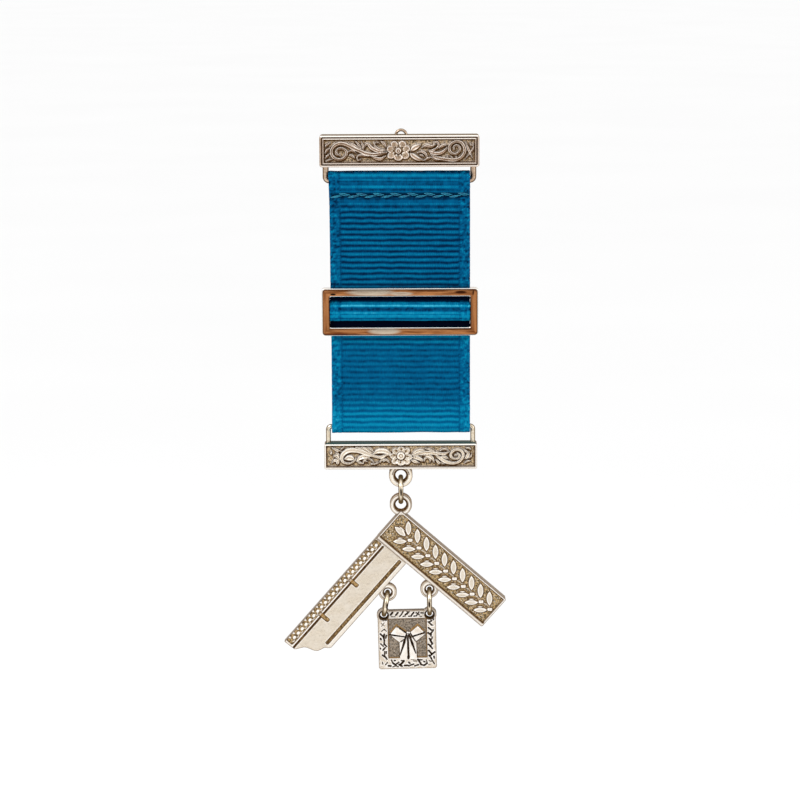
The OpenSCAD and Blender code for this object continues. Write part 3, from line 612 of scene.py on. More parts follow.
def ribbon_cloth():
    """Ribbed silk: the ribs are in the mesh, the fine threads across them are in the bump. The
    rib tone paints the cloth darker in the grooves and lighter on the crests and rolls, as painted
    shade and highlight.
    """
    m, tree, bsdf = material("ribbon_cloth")
    g = Graph(tree)
    rib, deep, dim = g.attribute("rib"), g.attribute("deep"), g.attribute("dim")
    thread = g.noise(1.0, 2.0, 0.6, g.scaled((2700, 900, 1000)))
    along = g.noise(1.0, 3.0, 0.5, g.scaled((420, 400, 1500)))
    patch = g.noise(70, 2.0, 0.5)
    level = g.plus(rib, g.times(g.minus(thread, 0.5), 0.5))
    level = g.plus(level, g.times(g.minus(along, 0.5), 0.5))
    level = g.plus(level, g.times(g.minus(patch, 0.5), 0.25))
    turn = g.plus(g.times(g.axis(0), 2 * math.pi / 0.00047),
                  g.times(g.axis(2), math.pi / 0.00127))
    turn = g.plus(turn, g.times(along, 14.0))
    bead = g.times(g.math("SINE", turn), g.between(rib, 0.35, 0.8, 0.0, 0.09))
    level = g.plus(level, bead)
    colour = g.mix(g.between(level, 0.0, 0.6), (0.0, 0.014, 0.05), (0.0, 0.085, 0.205))
    colour = g.mix(g.between(level, 0.5, 1.2), colour, (0.001, 0.205, 0.37))
    colour = g.mix(g.between(level, 1.2, 1.8), colour, (0.05, 0.42, 0.6))
    # painted shade: dim darkens the cloth above the slide, deep nearly blackens it under the rails and the
    # sewn row
    colour = g.mix(dim, colour, (0.0, 0.006, 0.03))
    colour = g.mix(deep, colour, (0.0, 0.002, 0.012))
    tree.links.new(colour, bsdf.inputs["Base Color"])
    tree.links.new(g.between(thread, 0.3, 0.7, 0.62, 0.8), bsdf.inputs["Roughness"])
    bsdf.inputs["Specular IOR Level"].default_value = 0.02
    bsdf.inputs["Sheen Weight"].default_value = 0.05
    bsdf.inputs["Sheen Roughness"].default_value = 0.4
    bsdf.inputs["Sheen Tint"].default_value = (0.0, 0.5, 0.8, 1.0)
    tree.links.new(g.bump(g.plus(thread, g.times(along, 0.4)), 0.6, 0.00008),
                 bsdf.inputs["Normal"])
    return m


def thread_cloth():
    m, tree, bsdf = material("stitch_thread")
    g = Graph(tree)
    ply = g.noise(1.0, 2.0, 0.5, g.scaled((2600, 2600, 5200)))
    tree.links.new(g.mix(g.between(ply, 0.35, 0.65), (0.0, 0.09, 0.19), (0.004, 0.26, 0.39)),
                 bsdf.inputs["Base Color"])
    tree.links.new(g.between(ply, 0.3, 0.7, 0.5, 0.7), bsdf.inputs["Roughness"])
    tree.links.new(g.bump(ply, 0.5, 0.00006), bsdf.inputs["Normal"])
    return m


BROWN = (0.09, 0.04, 0.01)
OCHRE = (0.36, 0.2, 0.06)
# The lids are painted reflections on the bars' upper sides: grey-brown on the top bar, dark teal on the
# bottom bar
ROSE = cast_metal("rose_cast_metal", (0.66, 0.49, 0.375), (0.45, 0.33, 0.205), BROWN,
                  (1.0, 0.94, 0.87), lid=(TOP_H / 2, (0.2, 0.155, 0.11), (0.24, 0.19, 0.14)))
CREAM = cast_metal("cream_cast_metal", (0.95, 0.84, 0.68), (0.5, 0.37, 0.22), BROWN,
                   (1.0, 0.96, 0.89),
                   lid=(BOTTOM_Z + BOTTOM_H / 2, (0.045, 0.085, 0.08), (0.12, 0.13, 0.115)))
PALE = cast_metal("pale_cast_metal", (0.73, 0.64, 0.52), (0.43, 0.305, 0.155), BROWN,
                  (1.0, 0.96, 0.9), 0.28)
TABLET_AT, TABLET_TILT = (1.342, -113.43), math.radians(1.2)
HOLE_X, HOLE_Z = TABLET_W / 2 - 1.44, TABLET_H / 2 - 1.24
# Painted shade round the tablet's holes: the dark round places of its metal
HOLE_SHADE_R = 1.35
TABLET_HOLES = [(TABLET_AT[0] + s * HOLE_X * math.cos(TABLET_TILT) - HOLE_Z * math.sin(TABLET_TILT),
                 TABLET_AT[1] + s * HOLE_X * math.sin(TABLET_TILT) + HOLE_Z * math.cos(TABLET_TILT),
                 HOLE_SHADE_R) for s in (-1, 1)]
TABLET_METAL = cast_metal("tablet_cast_metal", (0.69, 0.59, 0.47), (0.27, 0.215, 0.16), (0.03, 0.014, 0.005),
                          (1.0, 0.96, 0.91), 0.26, pits=TABLET_HOLES, mottle=(1.35, 0.5), warmth=0.0)
GREY = cast_metal("milled_edge_metal", (0.4, 0.34, 0.29), (0.3, 0.26, 0.2), (0.17, 0.135, 0.105),
                  (0.5, 0.46, 0.42), 0.4, warmth=0.0)
# Dark marks of painted shade on the rings: x, z and half width and half height
RING_SHADE_MARKS = ((0.05, -77.9, 0.26, 1.15), (-3.3, -104.9, 0.27, 0.95), (6.45, -104.4, 0.27, 0.9))
WIRE = wire_metal("ring_wire_metal", (0.86, 0.76, 0.6), (0.38, 0.24, 0.1), 0.2, RING_SHADE_MARKS)
PIN = wire_metal("pin_wire_metal", (0.8, 0.74, 0.62), (0.55, 0.45, 0.3), 0.28)
WIRE_ROSE = wire_metal("stirrup_wire_metal", (0.64, 0.48, 0.35), (0.3, 0.17, 0.08), 0.24)
COPPER = slide_metal()
CLOTH = ribbon_cloth()
THREAD = thread_cloth()


def toned(h, pitch, wide=0.24, depth=0.22, ground=None):
    """Front tones of a relief whose height above the ground is h: hollows brown with patina and
    painted shade, edges bright with wear and painted highlights.
    """
    broad, fine = blur(h, wide / pitch), blur(h, 0.11 / pitch)
    return {"hollow": unit((broad - h) / depth - 0.08),
            "ridge": unit(np.maximum((h - broad) / depth - 0.15, (h - fine) / 0.055 - 0.12)),
            "ground": ground if ground is not None else 1 - step(0.1, 0.32, h)}


def cast_relief_tones(h, marks, pitch, inside, depth):
    """Tones for the bars: painted highlights on the rims, patina and painted shade in the dished
    middles and hollows, and painted light and shade on the sides, as if lit from above and the left.
    """
    t = toned(h, pitch, ground=(1 - step(0.12, 0.34, h)) * inside)
    fine = blur(h, 0.17 / pitch)
    lean = np.gradient(fine, pitch, axis=0) - 0.3 * np.gradient(fine, pitch, axis=1)
    rims = 0.9 * unit(-marks)
    shade = unit(lean / 0.6 - 0.2) * inside
    lit = unit(-lean / 0.6 - 0.2) * inside
    hollow = np.maximum.reduce([1.15 * t["hollow"], depth * marks, 1.2 * shade])
    t["hollow"] = unit(hollow * (1 - 0.8 * rims))
    t["ridge"] = unit(np.maximum.reduce([1.7 * t["ridge"] * (1 - shade), lit, rims]))
    return t


# Cast relief of the bars, read off. A point is across, up and half width, in steps of
# RELIEF_STEP from the bar's centre, which is about the size of the photograph's pixels there. A
# line with up to LEAF_POINTS points is a leaf, and a longer one is a stem.
RELIEF_STEP = (0.2268, 0.2307)
LEAF_POINTS = 10
TOP_SCROLLS = [
    [[-13, -1.3, 0.9], [-19, -2.8, 1.5], [-26, -3.3, 1.7], [-33, -2.3, 1.8], [-38, -0.3, 1.8],
     [-44, 2.3, 1.8], [-50, 5.3, 1.8], [-55, 7.2, 1.7], [-60, 7.2, 1.7], [-64.7, 4.7, 1.5],
     [-67.2, 0.2, 1.4], [-66.2, -4.6, 1.4], [-61.7, -7.8, 1.3], [-56.2, -7.4, 1.3], [-52.6, -4.1, 1.2],
     [-52.4, -0.1, 1.2], [-55.7, 2.4, 1.2], [-59.4, 2.6, 1.2], [-62.2, 0.2, 1.1], [-61.8, -3, 1.1],
     [-58.7, -4.4, 0.8]],
    [[-50.2, 8.6, 0.4], [-45.2, 6, 1.2], [-38.7, 1.9, 0.6]],
    [[-43.7, 9.9, 0.4], [-40.2, 6.2, 1.1], [-37.4, 2.2, 0.5]],
    [[-37.7, 9.7, 0.4], [-36, 5.2, 1.1], [-35.7, 0.2, 0.5]],
    [[-33.9, 3.7, 0.6], [-33.2, 6.2, 1], [-30.7, 6.4, 1.2], [-27.2, 2.7, 1.7], [-21.2, -0.1, 1.4],
     [-16.2, -0.1, 0.6]],
    [[-24.7, 7.4, 0.5], [-23.7, 4.2, 1.1], [-19.2, 1.2, 1.2], [-12.7, 1.2, 0.5]],
    [[-25.2, 7.7, 0.5], [-22.2, 8.4, 0.9], [-19.2, 7.2, 0.4]],
    [[-18.2, 9.7, 0.5], [-15.2, 7, 1.3], [-13.2, 3.7, 0.5]],
    [[-42.2, -6.3, 0.6], [-40.2, -4.3, 1], [-35.2, -4.4, 1.1], [-29.2, -5.8, 0.5]],
    [[-42, -6.8, 0.5], [-40.2, -9, 0.9], [-37.4, -7.3, 0.4]],
    [[-28.2, -4.6, 0.6], [-23.2, -7, 1.5], [-18.2, -7.6, 1.6], [-13.7, -4.6, 0.6]],
    [[-50.7, -0.8, 0.5], [-46.7, 0.4, 1.2], [-42.7, -2.3, 0.5]],
    [[-49.2, -3.8, 0.6], [-46.2, -4.8, 1.3], [-44.2, -7.3, 0.5]],
    [[-73, 3.9, 0.4], [-71.7, 5.9, 1.1], [-67.7, 8.4, 0.4]],
    [[-73.3, -2.8, 0.4], [-71.7, 0.7, 1.2], [-68.8, 3.2, 0.4]],
    [[-73.4, -6.8, 0.4], [-71.2, -4.8, 1.1], [-69, -2.3, 0.4]],
    [[-73, -9.2, 0.4], [-69.7, -8.8, 1], [-66.2, -7.6, 0.4]],
    [[11.3, -0.1, 0.6], [14.3, 2.4, 2.4], [17.3, 4.1, 2.2], [20.8, 6.1, 0.5]],
    [[17.8, -1.8, 0.6], [22.3, -0.8, 1.2], [25.8, -2.8, 1.2], [27.6, -6.3, 0.5]],
    [[20.3, -3.4, 0.5], [22.4, -4.4, 1.1], [24, -5.8, 0.4]],
    [[10.8, -2.3, 0.6], [14.3, -5.3, 2.3], [18.8, -7.9, 1.8], [24.3, -9.3, 0.4]],
    [[22.3, 3.4, 0.5], [27.3, 4.9, 1.5], [31.8, 4.4, 1.4], [35.8, 6.2, 0.6]],
    [[34, 4.9, 0.5], [34.6, 7.9, 0.9], [37.4, 8.4, 1], [38.8, 5.7, 1], [36.8, 2.4, 1.1],
     [32.3, 0.4, 1.1], [27.8, 0.2, 0.4]],
    [[29.8, -0.8, 0.6], [34.3, -2.3, 1.5], [40.3, -2.3, 1.6], [44.6, 0.2, 1.3], [47.1, 3.9, 0.5]],
    [[39.3, 1.9, 0.5], [42.3, 4.7, 1.5], [46.6, 5.7, 0.4]],
    [[30.8, -3.1, 0.7], [35.3, -5.9, 1.2], [41.3, -7.5, 1.6], [47.8, -8.5, 1.7], [54.8, -8.8, 1.6],
     [60.8, -6.8, 1.5], [64.3, -1.8, 1.4], [64.2, 3.4, 1.4], [61.3, 7.7, 1.4], [56.4, 9, 1.3],
     [51.8, 7.1, 1.3], [49.2, 2.9, 1.3], [50.6, -1.3, 1.2], [54.4, -3.3, 1.2], [58.2, -1.9, 1.1],
     [59.8, 1.7, 1.1], [58.4, 4.7, 1], [55.6, 5.3, 1], [53.7, 3.4, 0.9], [54.2, 1.1, 0.8]],
    [[24.8, -8.6, 0.4], [28.1, -7.6, 1.3], [31.1, -5.8, 0.4]],
    [[31.8, -6.1, 0.4], [35.6, -8.4, 1.1], [40.3, -9.4, 0.4]],
    [[46.6, -4.6, 0.4], [47.4, -5.6, 0.8], [48.4, -6.2, 0.4]],
    [[50.5, -5.2, 0.4], [51.4, -6, 0.8], [52.4, -6.4, 0.4]],
    [[55.2, -5.6, 0.4], [56.3, -6, 0.8], [57.4, -5.8, 0.4]],
    [[65.6, 7.8, 0.5], [68.3, 1.2, 1.2], [72.2, -7.6, 0.4]],
    [[73.4, 4.7, 0.4], [71.1, -0.8, 1.1], [64.8, -8.3, 0.4]],
    [[69, 7.6, 0.4], [71.3, 5.2, 0.9], [73.3, 6.6, 0.4]]]
# A petal is across, up, half length and half width, in the same steps, and its turn in degrees
TOP_PETALS = [[-4, 6.2, 3.7, 3.7, 122], [4.2, 6.4, 3.6, 4.2, 62], [8, 2, 3.8, 3.7, 10],
              [7, -4.2, 4.2, 4.2, -32], [0, -6.2, 3.7, 4.8, -90], [-7, -4.2, 4.2, 3.6, 212],
              [-8, 1.8, 3.6, 3.6, 168]]
BOTTOM_SCROLLS = [
    [[-9.6, 1.4, 0.7], [-14.6, 0.9, 1.2], [-20.6, -1.1, 1.4], [-26.6, 0.1, 1.4], [-32.6, 2.1, 1.6],
     [-39.6, 4.5, 1.9], [-46.6, 6, 2.1], [-53.6, 5.3, 2.2], [-58.3, 1.9, 2], [-59.6, -2.6, 1.5],
     [-57.4, -6.3, 1.2], [-52.6, -7.5, 1.1], [-47.8, -5.7, 1], [-45.2, -2.4, 0.6]],
    [[-56, -2.4, 0.8], [-51.6, -1.6, 2.6], [-47.6, -2.6, 0.8]],
    [[-45.6, 9.4, 0.4], [-39.6, 7.8, 1], [-33.6, 4.8, 1], [-29.1, 2.2, 0.4]],
    [[-39.6, 9.8, 0.4], [-33.6, 7.3, 1], [-28.1, 3, 0.4]],
    [[-34.1, 9.8, 0.3], [-30.3, 7.7, 0.9], [-27, 4.2, 0.4]],
    [[-27.1, 2.9, 0.7], [-22.1, 5.1, 2.2], [-15.6, 4.9, 2.1], [-10.1, 2.6, 0.6]],
    [[-44.1, -4.4, 0.7], [-40.1, -1.3, 2], [-35.1, -0.1, 1.5], [-31.1, -0.9, 0.5]],
    [[-44.6, -5.1, 0.5], [-41.1, -6.7, 1.2], [-37.1, -8.1, 0.4]],
    [[-37.8, -7, 0.5], [-36.8, -3.9, 0.9], [-33.1, -2.5, 0.9], [-29.6, -3.9, 0.9], [-26.8, -6.7, 0.4]],
    [[-35.6, -5, 0.6], [-34.6, -5.6, 0.9], [-33.6, -5.2, 0.5]],
    [[-30.1, -7.7, 0.4], [-25.6, -8.1, 0.9], [-22.1, -6.1, 0.4]],
    [[-20.6, -7.4, 0.4], [-20, -4.4, 0.9], [-16.6, -3, 0.9], [-13.2, -4.7, 0.9], [-11, -7.5, 0.4]],
    [[-17.8, -5, 0.5], [-16.8, -5.5, 1], [-15.8, -5.2, 0.5]],
    [[-69.1, 9, 0.4], [-64.6, 6.2, 1.2], [-60, 5.2, 0.4]],
    [[-57, 9.8, 0.4], [-59.2, 7.8, 0.9], [-60.6, 7, 0.3]],
    [[-61.9, -2.6, 0.5], [-65.1, 0.4, 1.3], [-68.2, -0.5, 0.4]],
    [[-62, -3, 0.5], [-66.1, -4, 1.3], [-69.6, -7, 0.4]],
    [[-61.9, -3.6, 0.5], [-63.6, -6, 1.5], [-63, -8.8, 0.4]],
    [[-62.6, -0.8, 0.5], [-63.3, 2.2, 1.1], [-65.8, 4, 0.4]],
    [[-69.8, 5, 0.4], [-70.2, 3, 0.9], [-69.9, 1.4, 0.3]],
    [[11.4, 1.2, 0.5], [15.4, 4.2, 1.4], [20.4, 5.8, 1.3], [24.2, 5.8, 0.4]],
    [[12.9, 0.5, 0.6], [19.4, 2.4, 1.3], [26.4, 3.6, 1.4], [33.4, 2.8, 1.5], [39.9, 1.4, 0.6]],
    [[20.4, 0.1, 0.5], [26.9, 0.8, 1.1], [31.7, -1.6, 1.3], [33.8, -6.9, 0.5]],
    [[24.9, 7.8, 0.4], [29.4, 6.7, 0.9], [34.4, 4.9, 0.4]],
    [[11.9, -1.5, 0.6], [16.9, -1.8, 1.7], [20.4, -3.5, 1.5], [22.4, -6.1, 0.4]],
    [[10.9, -4, 0.5], [14.4, -5.5, 1.6], [18.9, -7.1, 0.5]],
    [[24, -6.1, 0.5], [24.4, -2.7, 1], [27.4, -1.5, 1], [30, -3.6, 1], [29.4, -6.9, 0.4]],
    [[35.4, 0.8, 0.7], [39.4, -2, 1.5], [44.4, -5.2, 1.8], [49.4, -7.1, 1.5], [54.9, -7.4, 1.3],
     [59.9, -5.1, 1.3], [62.8, -0.6, 1.3], [62.4, 3.8, 1.3], [58.9, 6, 1.2], [54.2, 5.6, 1.2],
     [51, 2.8, 1.2], [50.8, -0.6, 1.2], [54, -3, 1.1], [58, -2.2, 1.1], [59.4, 1, 1], [57, 3, 0.7]],
    [[54.6, 0.2, 0.6], [55.8, 0.9, 1.2], [57, 0.2, 0.5]],
    [[35.9, 4.4, 0.5], [40.4, 2.4, 1.2], [45.4, 2.4, 1.2], [49.2, 4.9, 0.4]],
    [[40.9, -0.5, 0.5], [44.9, -1.1, 1.2], [48.7, -3, 0.4]],
    [[39.7, 5.4, 0.4], [43.9, 7, 1], [48.4, 5.8, 0.4]],
    [[35.2, -3.5, 0.5], [38, -6.3, 1.2], [39.4, -9.1, 0.4]],
    [[40, -6.5, 0.4], [42.4, -7.9, 0.9], [44.6, -8.8, 0.4]],
    [[64.2, -7.5, 0.4], [67.4, -5.4, 1.1], [70.9, -5, 0.4]],
    [[64.8, -3.2, 0.5], [67.6, 0.4, 1.5], [69, 4.4, 0.4]],
    [[63.8, 6.2, 0.4], [66, 4.6, 1.1], [68, 2.4, 0.4]],
    [[66.4, -3.2, 0.4], [70.4, -1.2, 1], [71.6, 2.4, 0.3]],
    [[65.4, 8.4, 0.4], [68.9, 7.8, 0.9], [71.4, 5.8, 0.3]]]
BOTTOM_PETALS = [[-5.2, 4.4, 4, 3.4, 140], [5.5, 4.5, 4.2, 3.3, 38], [8.2, -1, 3.6, 3, -8],
                 [6, -5.4, 3.9, 3.6, -42], [0, -6.8, 3.2, 4.4, -90], [-6, -5, 3.9, 3.6, 222],
                 [-8.2, 0, 3.4, 3, 180], [0, 7, 2.9, 3.9, 90]]


def flower(h, marks, X, Z, petals, cx, cz, eye_r, top):
    ux, uz = RELIEF_STEP
    for px, pz, l, w, turn in petals:
        c, s = math.cos(math.radians(turn)), math.sin(math.radians(turn))
        x, z = (X - cx) / ux - px, (Z - cz) / uz - pz
        u, v = (x * c + z * s) / l, (-x * s + z * c) / w
        a = np.hypot(u, v)
        body = 0.4 + 0.6 * bell(a - 0.82, 0.15) * step(-0.5, 0.3, u)
        body = body - 0.12 * bell(v, 0.12) * (u < 0.2)
        h[:] = np.maximum(h, np.where(a < 1, top * body * np.sqrt(unit(1 - a ** 6)), 0))
        floor = 0.45 * step(0.7, 0.4, a) - bell(a - 0.84, 0.12) * step(-0.5, 0.2, u)
        marks[:] = np.where(a < 0.98, floor, marks)
        marks[:] = np.maximum(marks, 0.85 * bell(a - 1.06, 0.07) * (u < 0.6))
    a = np.hypot((X - cx) / ux, (Z - cz) / uz) / eye_r
    eye = 0.42 + 0.58 * bell(a - 0.76, 0.2) + 0.4 * bell(a, 0.22)
    h[:] = np.where(a < 1.15, top * (eye * step(1.15, 0.95, a)), h)
    marks[:] = np.where(a < 1.1, 0.7 * bell(a - 0.4, 0.16) - bell(a - 0.8, 0.16), marks)
    marks[:] = np.maximum(marks, 0.8 * bell(a - 1.2, 0.13))
    # stamens: small pits round the eye
    round_eye = np.arctan2(Z - cz, X - cx)
    pits = bell(a - 1.62, 0.3) * unit(np.cos(round_eye * 8 + 0.6) * 1.8 - 0.3)
    h[:] = h - 0.3 * top * pits
    marks[:] = np.maximum(marks, pits)


def bar_relief(X, Z, scrolls, fuller, petals, flower_x, eye_r, seed):
    """Height of the relief above the sunk ground, and its marks: dished middles 1, rims -1."""
    h, marks = np.zeros_like(X), np.zeros_like(X)
    ux, uz = RELIEF_STEP
    for pts in scrolls:
        carve(h, marks, X, Z, [[a * ux, b * uz, fuller * c * ux] for a, b, c in pts], 0.65,
              len(pts) <= LEAF_POINTS)
    flower(h, marks, X, Z, petals, flower_x, 0, eye_r, 0.66)
    rough = 0.035 * rumple(X, Z, 0.16, seed) + 0.03 * rumple(X, Z, 0.3, seed + 1)
    return h + rough * (1 - 0.6 * step(0.1, 0.4, h)), marks


# Steps of the grids that the cast plates are built on
BAR_GRID, RIGHT_GRID, LEFT_GRID, TABLET_GRID = 0.078, 0.082, 0.095, 0.07


def spaced(a, b, step_mm):
    return np.linspace(a, b, max(2, int(round((b - a) / step_mm)) + 1))


def stirrup(p, leg, start_z, rod_z, bend, gap, leg_r, rod_r):
    """A bent wire with legs at -leg and leg and a rod between them; a negative bend points down."""
    r = abs(bend)
    path = [(-leg, MID_Y, z) for z in np.linspace(start_z, rod_z - bend, 8)]
    path += [(-leg + r - r * math.cos(a), MID_Y, rod_z - bend + bend * math.sin(a))
             for a in np.linspace(0.15, math.pi / 2, 8)]
    radii = [leg_r] * len(path)
    path += [(x, MID_Y, rod_z) for x in np.linspace(-leg + r + gap, 0, 10)]
    radii += [rod_r] * 10
    path += [(-x, y, z) for x, y, z in path[-2::-1]]
    radii += radii[-2::-1]
    p.add(*tube(path, radii, 24), mat=1)


# 1 Top bar
def make_top_bar():
    border, groove, line, corner = 0.42, 0.22, 0.3, 0.6
    inset = border + groove + line
    xs, zs = spaced(-TOP_W / 2, TOP_W / 2, BAR_GRID), spaced(-TOP_H / 2, TOP_H / 2, BAR_GRID)

    def outline(x, z):
        return box_sd(x, z, 0, 0, TOP_W / 2, TOP_H / 2, corner)

    def front(X, Z):
        d = -outline(X, Z)
        relief, marks = bar_relief(X, Z, TOP_SCROLLS, 1.16, TOP_PETALS, -0.23, 2.9, 11)
        h = np.where(d > inset, relief, 0)
        long_side = TOP_H / 2 - abs(Z) < TOP_W / 2 - abs(X)
        upper, lower = long_side & (Z > 0), long_side & (Z < 0)
        rim = 0.83 * shoulder(border - d, 0.1) - 0.08 * (1 - shoulder(d + 0.02, 0.12))
        rim = rim - 0.42 * np.maximum(border - d, 0) * upper
        rail = 0.85 * shoulder(np.minimum(d - border - groove, inset - d), 0.12)
        h = np.maximum(np.maximum(h, rim), rail)
        t = cast_relief_tones(h, marks * (d > inset), BAR_GRID, d > inset, 1.15)
        frame = d < inset
        moat = step(0.12, 0.0, abs(d - border - groove / 2) - 0.04)
        on_rim, on_rail = d < border, (d > border + groove) & (d < inset)
        # painted highlight on the frame: the upper rim and rail brightest, the others dimmer, the right
        # end's rim a little and the left end's not at all
        rail_tone = np.where(upper, 1.0, 0.6)
        t["hollow"] = np.where(frame, np.where(long_side, 0.85, 0.7) * moat, t["hollow"])
        side_rim = np.where(X > 0, 0.35, 0.0)
        along = rail_tone * (on_rim | on_rail)
        upright = side_rim * on_rim + 0.3 * on_rail
        t["ridge"] = np.where(frame, np.where(long_side, along, upright), t["ridge"])
        t["ground"] = np.where(frame, np.where(long_side, moat, 0.35), t["ground"])
        # painted shade: dark outer edges on all but the upper side, and a painted shadow inside the frame,
        # widest along the lower rail
        at_least(t, "hollow", 0.6 * step(0.18, 0.06, d) * ~upper)
        inner_line = np.where(lower, 0.9 * step(0.42, 0.2, d - inset), 0.75 * bell(d - inset - 0.12, 0.1))
        at_least(t, "hollow", inner_line * (d > inset) * (h < 0.45))
        return GROUND_Y - h, t

    p = Piece()
    plate(p, xs, zs, outline, front, BACK_Y, straight())
    stirrup(p, 16.6, -TOP_H / 2 + 0.3, TOP_ROD_Z, -0.8, 0.5, 0.68, 0.68)
    # small half loop on the upper edge
    ring = [(0.4 + 1.15 * math.cos(a), MID_Y, TOP_H / 2 - 0.1 + 1.15 * math.sin(a))
            for a in np.linspace(-0.05, math.pi + 0.05, 28)]
    p.add(*tube(ring, 0.32, 14), mat=1)
    # hinge block and catch of the pin
    block = TOP_W / 2 - 4.5
    for x0, x1, open_below in ((block, block + 2, False), (-block - 2, -block - 0.2, True)):
        ys, zs2 = spaced(BACK_Y - 0.1, 1.0, 0.1), spaced(-1.0, 1.0, 0.1)

        def shape(y, z, hook=open_below):
            solid = box_sd(y, z, -0.45, 0, 1.45, 1.0, 0.25)
            hole = disc_sd(y, z, 0, 0, 0.45)
            if hook:
                hole = np.minimum(hole, box_sd(y, z, 0, -0.8, 0.45, 0.8))
            return np.maximum(solid, -hole)

        plate(p, ys, zs2, shape, lambda y, z, v=x0: (np.full(y.shape, v), None), x1,
              lambda a, b, c: np.stack([b, a, c], 1))
    p.make("top_bar_cast", "mounting", [ROSE, WIRE_ROSE], ["top_bar"])


# 5 Bottom bar with the flared loop
def make_bottom_bar():
    line = 0.4
    xs, zs = spaced(-BOTTOM_W / 2, BOTTOM_W / 2, BAR_GRID), spaced(-BOTTOM_H / 2, BOTTOM_H / 2, BAR_GRID)

    def outline(x, z):
        return box_sd(x, z, 0, 0, BOTTOM_W / 2, BOTTOM_H / 2, 0.42)

    def front(X, Z):
        d = -outline(X, Z)
        relief, marks = bar_relief(X, Z, BOTTOM_SCROLLS, 1.3, BOTTOM_PETALS, 0.06, 4.0, 31)
        h = np.where(d > line, relief, 0)
        rail = 0.85 * shoulder(line - d, 0.12) - 0.12 * (1 - shoulder(d + 0.02, 0.16))
        h = np.maximum(h, np.where(d < line, rail, 0))
        t = cast_relief_tones(h, marks * (d > line), BAR_GRID, d > line, 0.4)
        t["hollow"] = np.where(d < line, 0.0, t["hollow"])
        # painted highlight on the rail, dimmer on its lower half; painted shade on the outer edges below the
        # top, and a painted shadow inside the frame along the bottom
        t["ridge"] = np.where(d < line, np.where(Z < 0, 0.82, 1.0), t["ridge"])
        at_least(t, "hollow", 0.7 * step(0.15, 0.05, d) * (Z < 0.9 * BOTTOM_H / 2))
        below = Z < -BOTTOM_H / 2 + 1.2
        inner_line = np.where(below, step(0.36, 0.16, d - line), 0.75 * bell(d - line - 0.06, 0.12))
        at_least(t, "hollow", inner_line * (d > line) * (h < 0.45))
        return GROUND_Y - h, t

    p = Piece()
    plate(p, xs, zs, outline, front, BACK_Y, straight(BOTTOM_Z))
    top = BOTTOM_Z + BOTTOM_H / 2
    stirrup(p, 16.52, top - 0.3, BOTTOM_ROD_Z, 0.65, 0.6, 0.55, 0.42)
    # flared loop: an eye with a bevelled hole, and the web that joins it to the bar
    loop_out, loop_mid = 2.7, 1.97
    eye_plate(p, 0, BAR_LOOP_Z, LOOP_HOLE, loop_out, 1.0, straight(), MID_Y, creased=True)
    xs, zs = spaced(-2.8, 2.8, 0.09), spaced(BAR_LOOP_Z, top - BOTTOM_H + 0.2, 0.09)

    def web(x, z):
        edge = 2.54 + 0.16 * (z - BAR_LOOP_Z) / loop_mid
        return np.maximum(np.maximum(abs(x) - edge, z - (BOTTOM_Z - BOTTOM_H / 2 + 0.15)),
                          np.maximum(BAR_LOOP_Z - z, loop_mid - np.hypot(x, z - BAR_LOOP_Z)))

    def web_front(X, Z):
        r = np.hypot(X, Z - BAR_LOOP_Z)
        crease = bell(r - 2.75, 0.16)
        return MID_Y - 0.75 - 0.12 * (1 - crease), {"hollow": crease * 0.9, "ridge": np.zeros_like(X),
                                                    "ground": np.zeros_like(X)}

    plate(p, xs, zs, web, web_front, MID_Y + 0.75, straight())
    p.make("bottom_bar_cast", "mounting", [CREAM, WIRE], ["bottom_bar"])


def eye_plate(p, cx, cz, r_in, r_out, half_t, place, mid, bevel=0.62, pitch=0.085, creased=False):
    """A loop whose axis runs front to back, rounded outside and bevelled into its hole."""
    m = r_out + pitch
    xs, zs = spaced(cx - m, cx + m, pitch), spaced(cz - m, cz + m, pitch)

    def outline(x, z):
        return np.maximum(np.hypot(x - cx, z - cz) - r_out, r_in - np.hypot(x - cx, z - cz))

    def face(sign):
        def f(X, Z):
            r = np.hypot(X - cx, Z - cz)
            t_in = unit((r - r_in) / bevel)
            outer = 1 - shoulder(r_out - r + 0.02, 0.34)
            drop = 0.42 * half_t * (1 - t_in) ** 1.5 + 0.3 * half_t * outer
            turned = np.arctan2(Z - cz, X - cx)
            # painted shade: dark in the bevel of the hole, along the outer rim and in an arc on one side;
            # painted highlight on the bevel's top
            arc = bell(r - r_in - bevel - 0.42, 0.1) * unit(0.5 + 0.7 * np.sin(turned + 0.6))
            if creased:
                arc = bell(r - 1.93, 0.14) * step(0.0, 0.3, Z - cz) * step(0.9, 1.2, abs(X - cx))
            rim_line = bell(r_out - r - 0.07, 0.12)
            inside = step(r_in + bevel + 0.04, r_in + 0.5 * bevel, r)
            tone = {"hollow": unit(np.maximum.reduce([inside, 0.75 * rim_line, 0.95 * arc])),
                    "ridge": bell(r - r_in - bevel - 0.17, 0.14), "ground": np.zeros_like(r)}
            return mid + sign * (half_t - drop), tone
        return f

    plate(p, xs, zs, outline, face(-1), face(1), place)


def inside_box(x, z, x0, z0, x1, z1, r):
    """Depth inside a box between two corners."""
    return -box_sd(x, z, (x0 + x1) / 2, (z0 + z1) / 2, (x1 - x0) / 2, (z1 - z0) / 2, r)


def arm_place(x, y, z):
    """From the square's own axes (along the right arm, depth, along the left arm) to the row frame."""
    c, s = math.cos(SLOPE), math.sin(SLOPE)
    return np.stack([x * c - z * s, y, APEX_Z - x * s - z * c], 1)


